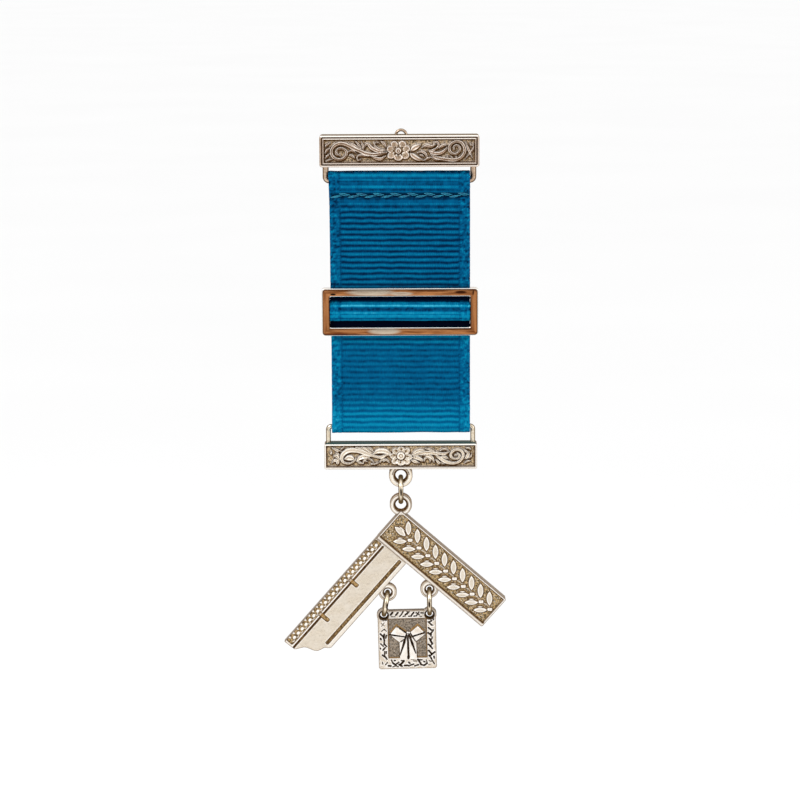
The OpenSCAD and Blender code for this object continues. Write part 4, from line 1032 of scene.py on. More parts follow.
def lens(p, q, cp, cq, length, width, angle):
    """Inside distance of a pointed leaf, and across its width."""
    c, s = math.cos(angle), math.sin(angle)
    u, v = (p - cp) * c + (q - cq) * s, -(p - cp) * s + (q - cq) * c
    R = (length ** 2 + width ** 2) / (4 * width)
    o = R - width / 2
    return R - np.maximum(np.hypot(u, v - o), np.hypot(u, v + o)), u, v


# 7 Square
def make_square():
    p = Piece()
    right_y, left_y = MID_Y - RIGHT_T / 2, MID_Y - LEFT_T / 2
    # right arm with the laurel spray
    xs, zs = spaced(0, RIGHT_L, RIGHT_GRID), spaced(0, RIGHT_W, RIGHT_GRID)

    def outline(x, z):
        return box_sd(x, z, RIGHT_L / 2, RIGHT_W / 2, RIGHT_L / 2, RIGHT_W / 2, 0.35)

    up = math.pi / 2 - SLOPE
    panel_rim, panel_inner_rim, panel_depth = 0.42, 0.85, 0.6
    # the spray's leaves: their steps along the arm, and the middle of the one at its foot
    upright_step, level_step, foot = 2.79, 2.748, (3.1, 3.85)

    def right_front(P, Q):
        d_in = inside_box(P, Q, panel_rim, panel_rim, RIGHT_L - panel_rim, RIGHT_W - panel_inner_rim, 0.1)
        h = panel_depth * (1 - shoulder(d_in + 0.04, 0.08))
        rim = -outline(P, Q)
        h = h - 0.12 * (1 - shoulder(rim + 0.02, 0.16)) * (rim < 0.2)
        grain = 0.07 * rumple(P, Q, 0.2, 51) + 0.07 * rumple(P, Q, 0.36, 52)
        h = h + grain * (d_in > 0)
        face = np.zeros_like(P)
        moat = np.zeros_like(P)
        items = []
        arcs = np.zeros_like(P)
        c, s = math.cos(SLOPE), math.sin(SLOPE)
        for i in range(11):
            cp, cq = (4.6 + level_step * (i - 1), 5.7 + 0.02 * (i - 1)) if i else foot
            u, v = (P - cp) * c - (Q - cq) * s, (P - cp) * s + (Q - cq) * c
            arc = np.hypot(u / 1.5, (v + 0.1) / 0.95) - 1
            broken = 0.8 + 0.5 * rumple(P, Q, 0.3, 54)
            arcs = np.maximum(arcs, broken * bell(arc - 0.12, 0.12) * (v < -0.35) * (abs(u) < 1.45))
        for i in range(10):
            items.append((4.05 + upright_step * i, 2.05 + 0.04 * i, 3.5, 1.4, up, 0.48))
            items.append((4.6 + level_step * i, 5.7 + 0.02 * i, 3.25, 1.2, -SLOPE, 0.48))
            items.append((4.12 + level_step * i, 5.14 + 0.02 * i, 1.35, 0.34, -SLOPE, 0.4))
        items.append((*foot, 3.4, 1.35, math.radians(0.1), 0.48))
        items.append((3.05, 3.15, 2.0, 0.4, math.radians(2), 0.42))
        for cp, cq, l, w, a, top in items:
            near = (abs(P - cp) < l * 0.75) & (abs(Q - cq) < l * 0.75) & (d_in > -0.02)
            d, u, v = lens(P[near], Q[near], cp, cq, l, w, a)
            crown = top * shoulder(d, 0.2) * (1 - 0.05 * bell(v, 0.07))
            h[near] = np.maximum(h[near], crown)
            face[near] = np.maximum(face[near], step(-0.02, 0.06, d))
            moat[near] = np.maximum(moat[near], step(-0.32, -0.06, d) * (d < 0.02))
        for i in range(10):
            a, b = P - 6.2 - level_step * i, Q - 3.95 - 0.04 * i
            u, v = a * c - b * s, a * s + b * c
            r = ((u / 0.58) ** 4 + (v / 0.36) ** 4) ** 0.25
            inside = (r < 1) & (d_in > 0)
            h = np.where(inside, np.maximum(h, 0.12 + 0.36 * unit(1 - r ** 4) ** 0.5), h)
            face = np.where(inside, 1.0, face)
            moat = np.where((r >= 1) & (r < 1.5), np.maximum(moat, 0.8), moat)
        stem = (abs(Q - 4.0 - 0.12 * np.sin(P * 2.25)) < 0.14) & (P > 4.2) & (P < RIGHT_L - 1.4)
        h = np.where(stem & (face < 0.1), np.maximum(h, 0.12), h)
        t = toned(h, RIGHT_GRID, ground=unit((1 - face) * (d_in > 0.0)))
        # patina and painted shade round the leaves' feet, and dark arcs above the level leaves
        t["hollow"] = unit(np.maximum.reduce([t["hollow"] * 0.9, 0.8 * moat * (1 - face),
                                              arcs * (1 - face)]))
        # painted shade along the panel's wall, broad on its inner side, at the outer edges and by the inner
        # rail; painted highlight on the rim, none on the inner side
        inner = Q > RIGHT_W - panel_inner_rim - 0.3
        wall = np.where(inner, bell(d_in + 0.02, 0.2), 0.75 * bell(d_in - 0.04, 0.12))
        at_least(t, "hollow", wall)
        t["ridge"] = unit(t["ridge"] + 0.75 * ((d_in < -0.12) & (rim > 0.12)))
        t["ridge"] = np.where(inner & (d_in > -0.3), 0, t["ridge"])
        at_least(t, "hollow", 0.8 * step(0.24, 0.1, rim))
        rail_line = bell(RIGHT_W - Q - 0.3, 0.1)
        at_least(t, "hollow", 0.55 * rail_line)
        return right_y + panel_depth - h, t

    plate(p, xs, zs, outline, right_front, right_y + RIGHT_T, arm_place, side_mat=1)

    # left arm: plain face, dotted band, grooves and the shaped end
    ends = [[1, 6.1], [0.98, 5.75], [0.93, 5.3], [0.89, 5.15], [0.86, 4.75], [0.835, 4.1],
            [0.8, 3.4], [0.72, 2.85], [0.62, 2.55], [0.53, 2.3], [0.465, 1.9], [0.41, 1.2],
            [0.36, 0.5], [0.31, 0.05], [0, 0]]
    start = RIGHT_W - 0.3
    shape = [(0.0, start), (LEFT_W, start)] + [(a * LEFT_W, LEFT_L - b) for a, b in ends]

    def outline_left(x, z):
        return poly_sd(x, z, shape)

    xs, zs = spaced(0, LEFT_W, LEFT_GRID), spaced(start, LEFT_L, LEFT_GRID)
    band_depth, dot_step = 0.35, 1.385

    def left_front(P, Q):
        band = inside_box(P, Q, 0.12, RIGHT_W + 0.35, 1.95, LEFT_L - 0.5, 0.4)
        black = inside_box(P, Q, 2.3, RIGHT_W + 0.45, 2.75, LEFT_L + 1, 0.2)
        inner = inside_box(P, Q, LEFT_W - 1.85, RIGHT_W + 0.5, LEFT_W - 1, LEFT_L - 5.9, 0.4)
        tick1 = inside_box(P, Q, 1.7, 30.35, 4.6, 31.3, 0.35)
        tick2 = inside_box(P, Q, 1.7, 19.7, 4.35, 20.65, 0.35)

        def sunk(d, deep):
            return deep * np.where(d > -0.03, shoulder(d + 0.03, 0.1), 0)

        h = -np.maximum.reduce([sunk(band, band_depth), sunk(black, 0.38), sunk(inner, 0.35),
                                sunk(tick1, 0.3), sunk(tick2, 0.3)])
        dots = np.zeros_like(P)
        for i in range(24):
            q = RIGHT_W + 1.4 + dot_step * i
            if q < LEFT_L - 0.9:
                r = np.hypot((P - 1.12) / 0.36, (Q - q) / 0.44)
                h = np.where(r < 1, np.maximum(h, -band_depth + 0.32 * np.sqrt(unit(1 - r ** 4))), h)
                dots = np.maximum(dots, step(1.05, 0.8, r))
                tooth = np.minimum(0.72 - P, 0.42 * (1 - P / 0.78) - abs(Q - q - 0.69))
                h = np.where(tooth > 0, np.maximum(h, -band_depth + 0.32 * shoulder(tooth, 0.12)), h)
                dots = np.maximum(dots, step(0.0, 0.08, tooth))
                chevron = abs(abs(Q - q - 0.69) - 0.55 * (1.95 - P)) < 0.1
                h = np.where(chevron & (P > 1.35) & (band > 0.05), np.maximum(h, -0.24), h)
        edge = -outline_left(P, Q)
        h = h - 0.1 * (1 - shoulder(edge + 0.02, 0.14)) * (Q > RIGHT_W)
        h = h + 0.012 * rumple(P, Q, 0.5, 71) + 0.006 * rumple(P, Q, 0.2, 72)
        in_band = (band > 0) | (inner > 0) | (black > 0)
        t = toned(h, LEFT_GRID, wide=0.2, depth=0.2,
                  ground=np.where(in_band | (tick1 > 0) | (tick2 > 0), 1 - dots, 0.0))

        def line(d, width):
            return np.where(d > -0.03, bell(d, width), 0)

        worn = 0.5 + 0.5 * rumple(P, Q, 0.8, 77)
        groove = np.where(black > -0.02, np.where(black > 0.07, 1.0 - 0.1 * worn, 0.6), 0)
        dark = np.maximum.reduce([groove, line(tick1, 0.19), line(tick2, 0.19), 0.45 * (tick1 > 0),
                                  0.45 * (tick2 > 0), line(inner, 0.17),
                                  np.where(inner > 0, 0.4 + 0.3 * worn, 0), 0.5 * line(band, 0.1)])
        t["hollow"] = np.maximum(unit(t["hollow"] * 1.1), dark)
        # painted highlight on the raised dots
        t["ridge"] = unit(np.maximum(t["ridge"], 0.8 * dots))
        # painted shadow where the right arm's panel lies over the left arm, and painted dark outer edges
        foot = bell(Q - RIGHT_W - 0.05, 0.13) * (1 - 0.35 * step(2, 5, P))
        at_least(t, "hollow", foot)
        edge_shade = 0.8 * step(0.22, 0.08, edge) * (Q > RIGHT_W + 0.3)
        at_least(t, "hollow", edge_shade)
        t["ochre"] = unit(0.5 * (groove > 0.5) * step(0.6, 0.9, worn) + (tick1 > 0.12) + (tick2 > 0.12))
        # painted highlights beside the black groove and along the outer side
        t["ridge"] = unit(t["ridge"] + 0.5 * ((P > 1.9) & (P < 2.25)) + 0.3 * (P > LEFT_W - 0.95))
        return left_y - h, t

    plate(p, xs, zs, outline_left, left_front, left_y + LEFT_T, arm_place, side_mat=1)
    for cx, cz in ((LEFT_W + 1.29, 16.739), (17.25, RIGHT_W + 1.27)):
        eye_plate(p, cx, cz, SMALL_HOLE, 2.1, 0.8, arm_place, MID_Y, bevel=0.42, pitch=0.075)
    eye_plate(p, 0, SQUARE_LOOP_Z, LOOP_HOLE, 2.55, 1.0, straight(), MID_Y)
    p.make("square_cast", "drop", [PALE, GREY], ["square"])


# 10 Tablet: cut strokes of its border, read off: two ends, half width and depth of tone
TABLET_CUTS = [
    ((-3.25, 6.6), (-3.7, 6.05), 0.2, 1.0), ((-3.6, 5.6), (-2.75, 5.55), 0.14, 0.6),
    ((-2.0, 6.5), (-2.5, 5.95), 0.19, 1.0), ((-0.8, 6.75), (-1.15, 6.15), 0.17, 0.9),
    ((-1.65, 5.6), (-1.3, 5.95), 0.15, 0.9), ((0.1, 6.1), (0.6, 6.7), 0.16, 0.8),
    ((0.1, 6.75), (0.45, 6.4), 0.14, 0.8), ((-0.85, 5.6), (-0.35, 5.65), 0.14, 0.9),
    ((-0.3, 5.95), (0.1, 6.3), 0.17, 1.0), ((1.15, 5.85), (1.65, 6.45), 0.18, 0.95),
    ((0.45, 5.6), (1.1, 5.6), 0.14, 0.9), ((1.7, 5.6), (2.3, 5.65), 0.14, 1.0),
    ((2.2, 6.4), (2.9, 5.9), 0.16, 0.85), ((2.4, 5.85), (2.85, 6.55), 0.15, 0.8),
    ((3.3, 6.35), (3.85, 6.3), 0.16, 0.9), ((3.1, 5.5), (3.5, 5.5), 0.14, 0.7),
    # right
    ((6.15, 5.0), (6.15, 4.65), 0.17, 0.9), ((5.45, 4.85), (5.75, 4.35), 0.15, 0.7),
    ((5.0, 4.1), (5.7, 3.4), 0.19, 0.9), ((5.7, 4.35), (5.15, 4.1), 0.16, 0.9),
    ((5.65, 3.4), (6.05, 3.3), 0.14, 0.8), ((5.0, 2.7), (5.6, 2.2), 0.19, 1.0),
    ((5.6, 2.2), (6.05, 1.95), 0.15, 0.9), ((4.9, 1.5), (5.5, 1.0), 0.2, 1.0),
    ((6.1, 2.2), (5.65, 1.45), 0.17, 0.9), ((5.55, 1.5), (5.5, 0.7), 0.17, 0.9),
    ((5.15, 0.1), (5.8, -1.15), 0.2, 1.0), ((5.4, -0.4), (5.85, 0.45), 0.17, 0.8),
    ((4.9, -1.25), (5.45, -1.85), 0.19, 1.0), ((5.45, -1.85), (5.8, -2.3), 0.16, 0.95),
    ((5.85, -1.0), (5.4, -1.55), 0.15, 0.7), ((4.95, -2.75), (5.65, -3.65), 0.2, 1.0),
    ((6.3, -3.15), (5.55, -3.75), 0.19, 1.0), ((5.05, -3.9), (5.5, -4.65), 0.18, 0.95),
    ((6.1, -4.15), (6.15, -4.6), 0.17, 0.95), ((5.45, -4.7), (6.15, -5.95), 0.16, 0.85),
    ((4.9, -4.0), (5.4, -3.9), 0.15, 0.9),
    # left
    ((-5.9, 4.0), (-5.25, 3.4), 0.13, 0.5), ((-5.25, 4.15), (-5.9, 3.3), 0.13, 0.5),
    ((-5.05, 5.1), (-4.8, 4.75), 0.16, 0.9), ((-5.75, 4.9), (-5.4, 4.6), 0.12, 0.5),
    ((-5.9, 2.15), (-5.25, 2.6), 0.14, 0.65), ((-5.3, 2.6), (-4.85, 2.15), 0.14, 0.75),
    ((-6.2, 1.5), (-5.6, 0.9), 0.18, 1.0), ((-5.3, 1.4), (-5.4, 0.5), 0.19, 0.95),
    ((-4.8, 1.15), (-5.0, 0.45), 0.16, 0.9), ((-6.15, 0.4), (-6.1, 0.15), 0.19, 1.0),
    ((-5.6, 0.9), (-5.35, 0.0), 0.16, 0.9), ((-5.3, 0.0), (-5.4, -1.0), 0.19, 0.9),
    ((-6.2, -0.85), (-5.6, -1.5), 0.16, 0.85), ((-5.7, -2.4), (-5.2, -1.85), 0.18, 0.95),
    ((-5.3, -1.0), (-4.85, -1.55), 0.17, 0.95), ((-6.3, -1.9), (-6.25, -2.1), 0.16, 0.9),
    ((-5.85, -3.6), (-5.2, -4.1), 0.19, 1.0), ((-5.3, -2.75), (-5.35, -3.6), 0.17, 0.85),
    ((-5.2, -4.0), (-4.85, -4.6), 0.18, 0.95), ((-5.9, -5.3), (-5.85, -5.75), 0.14, 0.8),
    ((-5.2, -5.9), (-4.75, -5.4), 0.16, 0.7), ((-4.9, -2.7), (-4.9, -3.2), 0.13, 0.8),
    # below
    ((-4.5, -6.2), (-4.0, -6.25), 0.22, 1.0), ((-3.8, -4.85), (-3.4, -5.7), 0.18, 0.85),
    ((-3.4, -5.6), (-2.9, -6.0), 0.18, 1.0), ((-3.1, -4.95), (-2.95, -4.95), 0.18, 1.0),
    ((-3.5, -6.5), (-2.75, -6.2), 0.15, 0.8), ((-2.75, -6.2), (-2.3, -6.5), 0.15, 0.8),
    ((-2.85, -5.95), (-2.1, -5.4), 0.18, 0.9), ((-2.0, -6.0), (-1.4, -6.35), 0.21, 1.0),
    ((-1.65, -5.9), (-0.95, -5.2), 0.22, 1.0), ((-1.5, -5.0), (-0.9, -5.0), 0.15, 0.8),
    ((-0.8, -6.2), (0.0, -6.2), 0.19, 0.95), ((0.2, -6.35), (0.8, -6.1), 0.17, 0.9),
    ((0.8, -6.1), (1.3, -5.95), 0.17, 0.9), ((0.2, -5.45), (0.45, -5.7), 0.19, 0.9),
    ((0.8, -4.8), (2.0, -5.0), 0.14, 0.5), ((1.3, -5.2), (2.1, -5.3), 0.13, 0.5),
    ((1.6, -6.35), (2.45, -6.1), 0.18, 0.9), ((2.4, -4.85), (2.95, -5.75), 0.21, 1.0),
    ((2.85, -4.9), (3.3, -4.95), 0.16, 0.9), ((3.0, -6.05), (3.75, -6.3), 0.19, 0.95),
    ((3.75, -6.3), (4.45, -5.8), 0.19, 0.95), ((4.3, -5.0), (4.5, -5.8), 0.15, 0.7),
    ((3.7, -5.3), (3.95, -5.5), 0.15, 0.9), ((4.95, -5.15), (5.4, -5.4), 0.14, 0.7),
    ((4.8, -6.15), (5.3, -6.2), 0.13, 0.5)]


def make_tablet():
    hx, hz, panel_depth = HOLE_X, HOLE_Z, 0.45

    def place(x, y, z):
        c, s = math.cos(TABLET_TILT), math.sin(TABLET_TILT)
        return np.stack([TABLET_AT[0] + x * c - z * s, y, TABLET_AT[1] + x * s + z * c], 1)

    def outline(x, z):
        d = box_sd(x, z, 0, 0, TABLET_W / 2, TABLET_H / 2 - 0.15, 0.6)
        for s in (-1, 1):
            d = np.minimum(d, disc_sd(x, z, s * hx, hz - 0.15, 1.5))
        for s in (-1, 1):
            d = np.minimum(d, disc_sd(x, z, s * hx, hz, 1.6))
        for s in (-1, 1):
            d = np.maximum(d, -disc_sd(x, z, s * hx, hz, SMALL_HOLE))
        return d

    xs, zs = spaced(-7.05, 7.05, TABLET_GRID), spaced(-7.1, 7.7, TABLET_GRID)

    def front(X, Z):
        field = -box_sd(X, Z, 0.06, 0.36, 4.52, 4.73, 0.1)
        h = panel_depth * (1 - shoulder(field + 0.03, 0.07))
        floor = 0.03 * rumple(X, Z, 0.14, 91) + 0.03 * rumple(X, Z, 0.28, 92)
        h = h + floor * (field > 0)
        face = np.zeros_like(X)
        dark = np.zeros_like(X)

        def shape(pts, top, tilt_x=0.0, tilt_z=0.0):
            nonlocal h, face
            d = -poly_sd(X, Z, pts)
            cx, cz = np.mean([a for a, _ in pts]), np.mean([b for _, b in pts])
            rise = (top + tilt_x * (X - cx) + tilt_z * (Z - cz)) * shoulder(d, 0.12)
            h = np.where(d > 0, np.maximum(h, rise), h)
            face = np.maximum(face, step(-0.02, 0.06, d))

        def line(a, b, wa, wb, tone=1.0):
            nonlocal h, dark
            q, _ = stroke(X.ravel(), Z.ravel(), np.array([[*a, wa], [*b, wb]]))
            cut = tone * step(1.4, 0.95, abs(q.reshape(X.shape)))
            h = h - 0.26 * cut * (face > 0.3)
            dark = np.maximum(dark, cut)

        # the figure: three squares on the sides of a triangle, parted by dark lines
        lobes = [[(-2.45, 3.25), (-3.85, 1.5), (-4.0, 1.3), (-0.5, 0.8), (-0.15, 1.5)],
                 [(2.5, 3.25), (3.75, 1.85), (4.1, 1.55), (1.2, 0.85), (0.75, 1.75)]]
        shape(lobes[0], 0.44, 0.05, 0.05)
        shape([(-4.0, 1.15), (-0.6, 0.55), (-0.5, 0.0), (-1.9, -0.6)], 0.38, 0.05, -0.06)
        shape(lobes[1], 0.44, -0.05, 0.05)
        shape([(1.3, 0.7), (4.35, 1.3), (2.2, -0.4), (0.9, 0.1)], 0.38, -0.05, -0.06)
        shape([(-0.7, 0.3), (-1.85, -0.55), (-1.8, -4.85), (2.15, -4.85), (2.1, -0.4), (1.2, 0.45)],
              0.42, 0.0, -0.02)
        shape([(-0.3, 1.1), (-0.1, 1.95), (0.65, 1.85), (0.95, 1.1), (0.56, 0.3), (-0.15, 0.3)], 0.5)
        line((-0.15, 1.25), (-0.75, -0.75), 0.16, 0.24)
        line((-0.75, -0.75), (-1.75, -3.7), 0.24, 0.1)
        line((0.12, 0.85), (0.22, -4.0), 0.2, 0.2)
        line((0.2, -4.1), (0.15, -4.5), 0.27, 0.22)
        line((0.45, 1.2), (1.15, -1.0), 0.18, 0.24)
        line((1.15, -1.0), (1.9, -3.3), 0.24, 0.1)
        line((0.85, 1.25), (2.05, -0.65), 0.17, 0.08, 0.85)
        line((-4.0, 1.22), (-0.75, 0.68), 0.18, 0.13)
        line((1.25, 0.72), (3.95, 1.55), 0.18, 0.15)
        line((-0.25, 1.6), (-1.75, 2.75), 0.12, 0.12, 0.95)
        line((-0.1, 1.4), (0.8, 1.4), 0.1, 0.1, 0.9)
        line((-0.75, 0.05), (-1.5, -0.45), 0.14, 0.14, 0.8)
        line((-2.1, 3.0), (-2.5, 3.1), 0.12, 0.12, 0.6)
        for a, b, w, tone in TABLET_CUTS:
            near = ((X > min(a[0], b[0]) - 0.4) & (X < max(a[0], b[0]) + 0.4)
                    & (Z > min(a[1], b[1]) - 0.4) & (Z < max(a[1], b[1]) + 0.4) & (field < 0.02))
            q, _ = stroke(X[near], Z[near], np.array([[*a, w], [*b, w]]))
            cut = tone * step(1.35, 0.9, abs(q))
            h[near] -= 0.24 * cut
            dark[near] = np.maximum(dark[near], cut)
        rim = -outline(X, Z)
        h = h - 0.12 * (1 - shoulder(rim + 0.02, 0.16)) * (rim < 0.2)
        hole = np.minimum(*[disc_sd(X, Z, s * hx, hz, SMALL_HOLE) for s in (-1, 1)])
        h = h - 0.3 * step(0.4, 0.0, hole)
        t = toned(h, TABLET_GRID, wide=0.18, depth=0.18, ground=unit((field > 0) * (1 - face)))
        wall = bell(field - 0.06, 0.15) * (1 - face)
        # painted shadow: an ochre band above the figure's upper edges, with ochre shade along the field's
        # wall and round the figure
        raised = -np.maximum.reduce([-poly_sd(X, Z - 0.5, lobe) for lobe in lobes])
        contour = (field > 0) * (1 - face) * step(0.12, -0.05, raised)
        side = 0.6 * (field > 0) * (1 - face) * unit(blur(face, 2.0) * 2.4)
        t["hollow"] = unit(np.maximum.reduce([0.8 * t["hollow"], dark, step(0.55, 0.3, hole),
                                              0.85 * wall, 0.85 * contour, side]))
        # painted highlight beside the cuts on the plain border
        beside = unit(blur(dark, 1.5) * 3) * (dark < 0.5)
        # painted shade: dark outer edges, partly ochre
        edge_shade = step(0.34, 0.16, rim)
        t["ochre"] = unit(np.maximum.reduce([wall, contour, side]) * (dark < 0.4) + 0.5 * edge_shade)
        patches = rumple(X, Z, 0.5, 95) + 0.7 * rumple(X, Z, 0.27, 96)
        plain = (field < -0.05) * (dark < 0.3)
        t["ridge"] = unit(t["ridge"] + plain * unit(0.12 + 0.4 * patches + 0.9 * beside))
        lightness = 0.45 + 0.4 * rumple(X, Z, 1.1, 97)
        t["ridge"] = np.where(face > 0.5, np.maximum(t["ridge"], lightness * (dark < 0.3)), t["ridge"])
        # painted shade inside the upper side of each hole
        ring_edge = bell(hole - 0.75, 0.1)
        at_least(t, "hollow", np.maximum(0.58 * edge_shade, 0.45 * ring_edge * (Z > hz - 0.2)))
        return MID_Y - TABLET_T / 2 + panel_depth - h, t

    p = Piece()
    plate(p, xs, zs, outline, front, MID_Y + TABLET_T / 2, place)
    p.make("tablet_cast", "drop", [TABLET_METAL], ["tablet"])


# 4 Slide
def make_slide():
    hw, hh = SLIDE_W / 2, SLIDE_H / 2
    front, back = -7.25, -5.65
    # across the rail from the outside in: share of the rail's width, depth, tone of painted
    # highlight on the edge, and tone of painted dark reflection line
    rows = [(0.0, back, 0.3, 0.5), (0.0, front + 0.3, 0.8, 0), (0.02, front + 0.08, 1, 0),
            (0.06, front, 1, 0), (0.1, front + 0.01, 0.9, 0), (0.13, front + 0.05, 0, 1),
            (0.19, front + 0.04, 0, 1), (0.23, front, 0, 0.1), (0.35, front - 0.04, 0, 0),
            (0.5, front - 0.05, 0, 0), (0.7, front - 0.04, 0, 0), (0.84, front, 0, 0.1),
            (0.87, front + 0.03, 0, 0.9), (0.9, front + 0.02, 0.3, 0.7), (0.92, front, 1, 0),
            (0.98, front + 0.08, 1, 0), (1.0, front + 0.3, 0.7, 0), (1.0, back, 0, 1)]
    per, corner, inner_corner = 12, 0.7, 0.35
    ring = []
    for share, y, edge, seam in rows:
        w, h = hw - SLIDE_SIDE * share, hh - SLIDE_RAIL * share
        r = corner - (corner - inner_corner) * share
        loop = []
        for q, (sx, sz) in enumerate(((1, 1), (-1, 1), (-1, -1), (1, -1))):
            for j in range(per + 1):
                a = math.pi / 2 * (q + j / per)
                loop.append((sx * (w - r) + r * math.cos(a), y, SLIDE_Z + sz * (h - r) + r * math.sin(a)))
        full = []
        for a, b in zip(loop, loop[1:] + loop[:1]):
            n = max(1, int(math.dist(a, b) / 0.6))
            full += [tuple(np.array(a) + (np.array(b) - np.array(a)) * k / n) for k in range(n)]
        ring.append((full, edge, seam))
    # the same number of points on every row
    verts, edges, dark_reflection_lines = [], [], []
    for full, edge, seam in ring:
        pts = np.array(full + full[:1])
        run = np.concatenate([[0], np.cumsum(np.linalg.norm(np.diff(pts, axis=0), axis=1))])
        at = np.linspace(0, run[-1], 401)[:-1]
        verts.append([np.interp(at, run, pts[:, i]) for i in range(3)])
        edges.append(edge)
        dark_reflection_lines.append(seam)
    V = np.array(verts).transpose(0, 2, 1)
    k = V.shape[1]
    flat = V.reshape(-1, 3)
    p = Piece()
    upright = (hw - abs(flat[:, 0])) / SLIDE_SIDE < (hh - abs(flat[:, 2] - SLIDE_Z)) / SLIDE_RAIL
    p.add(flat, turned_out(flat, [grid_quads(len(V), k)]),
          edge=np.repeat(edges, k), seam=np.repeat(dark_reflection_lines, k), upright=upright)
    # the middle bar that the ribbon hides
    bar_w, bar_h = hw - 0.58, 1.05

    def bar(x, z):
        return box_sd(x, z, 0, 0, bar_w, bar_h, 0.2)

    def bar_front(X, Z):
        return -6.05 + 0.12 * (abs(Z) / bar_h) ** 4, {"edge": np.zeros_like(X), "seam": 0.5 + 0 * X}

    plate(p, spaced(-bar_w, bar_w, 0.8), spaced(-bar_h, bar_h, 0.15), bar, bar_front, -5.05,
          straight(SLIDE_Z))
    p.make("slide_frame", "mounting", [COPPER], ["ribbon_slide"], sharp=50)


# 3 Ribbon
def ribbon_path():
    """Outer line of the ribbon's section in the source: forward, up, and the outward direction."""
    t, fold, weave_f, weave_r = 1.0, 0.5, 1.2, 0.75
    weave_z = SLIDE_H / 2 - SLIDE_RAIL - t
    front_top, front_bottom = 0.68 + (t + fold) / 2, 0.45 + t / 2
    fold_z, flat_z = TOP_ROD_Z - 4.4, TOP_ROD_Z - 12.02

    def turn(f, z, r, a, b, k, inward, th):
        w = np.radians(a + (b - a) * np.arange(k + 1) / k)
        return [(f + r * math.cos(x), z + r * math.sin(x), inward * math.cos(x), inward * math.sin(x), th)
                for x in w]

    rows = turn(0, TOP_ROD_Z, front_top, 180, 0, 24, 1, t + fold)
    rows += [(front_top - 0.06, fold_z, 1, 0, t + fold * 0.7), (weave_f + 0.05, flat_z, 1, 0, t)]
    rows += turn(weave_f + weave_r, SLIDE_Z + weave_z, weave_r, 180, 270, 10, -1, t)
    rows += turn(weave_f + weave_r, SLIDE_Z + weave_z - 2 * weave_r, weave_r, 90, 0, 10, 1, t)
    rows += turn(weave_f + weave_r, SLIDE_Z - weave_z + 2 * weave_r, weave_r, 0, -90, 10, 1, t)
    rows += turn(weave_f + weave_r, SLIDE_Z - weave_z, weave_r, 90, 180, 10, -1, t)
    rows += turn(0, BOTTOM_ROD_Z, front_bottom, 0, -180, 20, 1, t)
    rows += [(-front_bottom - 0.2, flat_z, -1, 0, t), (-front_top + 0.06, fold_z, -1, 0, t + fold * 0.7)]
    a = np.array(rows)
    return np.stack([a[:, 0] + a[:, 2] * a[:, 4] / 2, a[:, 1] + a[:, 3] * a[:, 4] / 2,
                     a[:, 2], a[:, 3]], 1)


# Rolls of cloth in the fold and in the slide's opening: height, half width and how far they stand
# out. The heights were picked as rows of the photograph and turned into millimetres.
FOLD_ROLLS = ((-5.41, 0.45, 0.85), (-6.42, 0.22, 0.65), (-7.09, 0.2, 0.3), (-7.99, 0.38, 0.8),
              (-9.11, 0.25, 0.5), (-11.18, 0.28, 0.32), (-11.81, 0.28, 0.58), (-13.1, 0.3, 0.66))
FOLD_END_Z = -13.1
OPENING_ROLLS = ((-34.17, 0.2, 0.7), (-34.78, 0.3, 1.5), (-36.4, 0.34, 1.05), (-37.05, 0.2, 1.0),
                 (-37.42, 0.2, 0.8), (-38.1, 0.22, 0.8))
OPENING_TOP_Z, OPENING_LOW_Z = -33.75, -38.6
# first rib and pitch, above and below the slide, and the ribs' slope across the ribbon
UPPER_RIB_Z, UPPER_PITCH = -13.1, 1.266
LOWER_RIB_Z, LOWER_PITCH = -43.24, 1.283
RIB_TILT = 0.0055
# How far the left side is drawn in, at distances below the row frame's origin
DRAWN_AT = [5.0, 12.0, 31.0, 33.0, 39.5, 42.0, 60.0, 80.0]
DRAWN_IN = [-0.12, 0.06, 0.14, -0.04, -0.04, 0.24, 0.24, 0.0]
# The sewn row: height, number of loops, width from the first to the last, points along a thread
STITCH_Z, STITCHES, SEWN_W, THREAD_POINTS = -9.8, 16, 28.6, 15


def rolls(z, rows, base):
    return base + sum(rise * bell(z - at, half) for at, half, rise in rows)


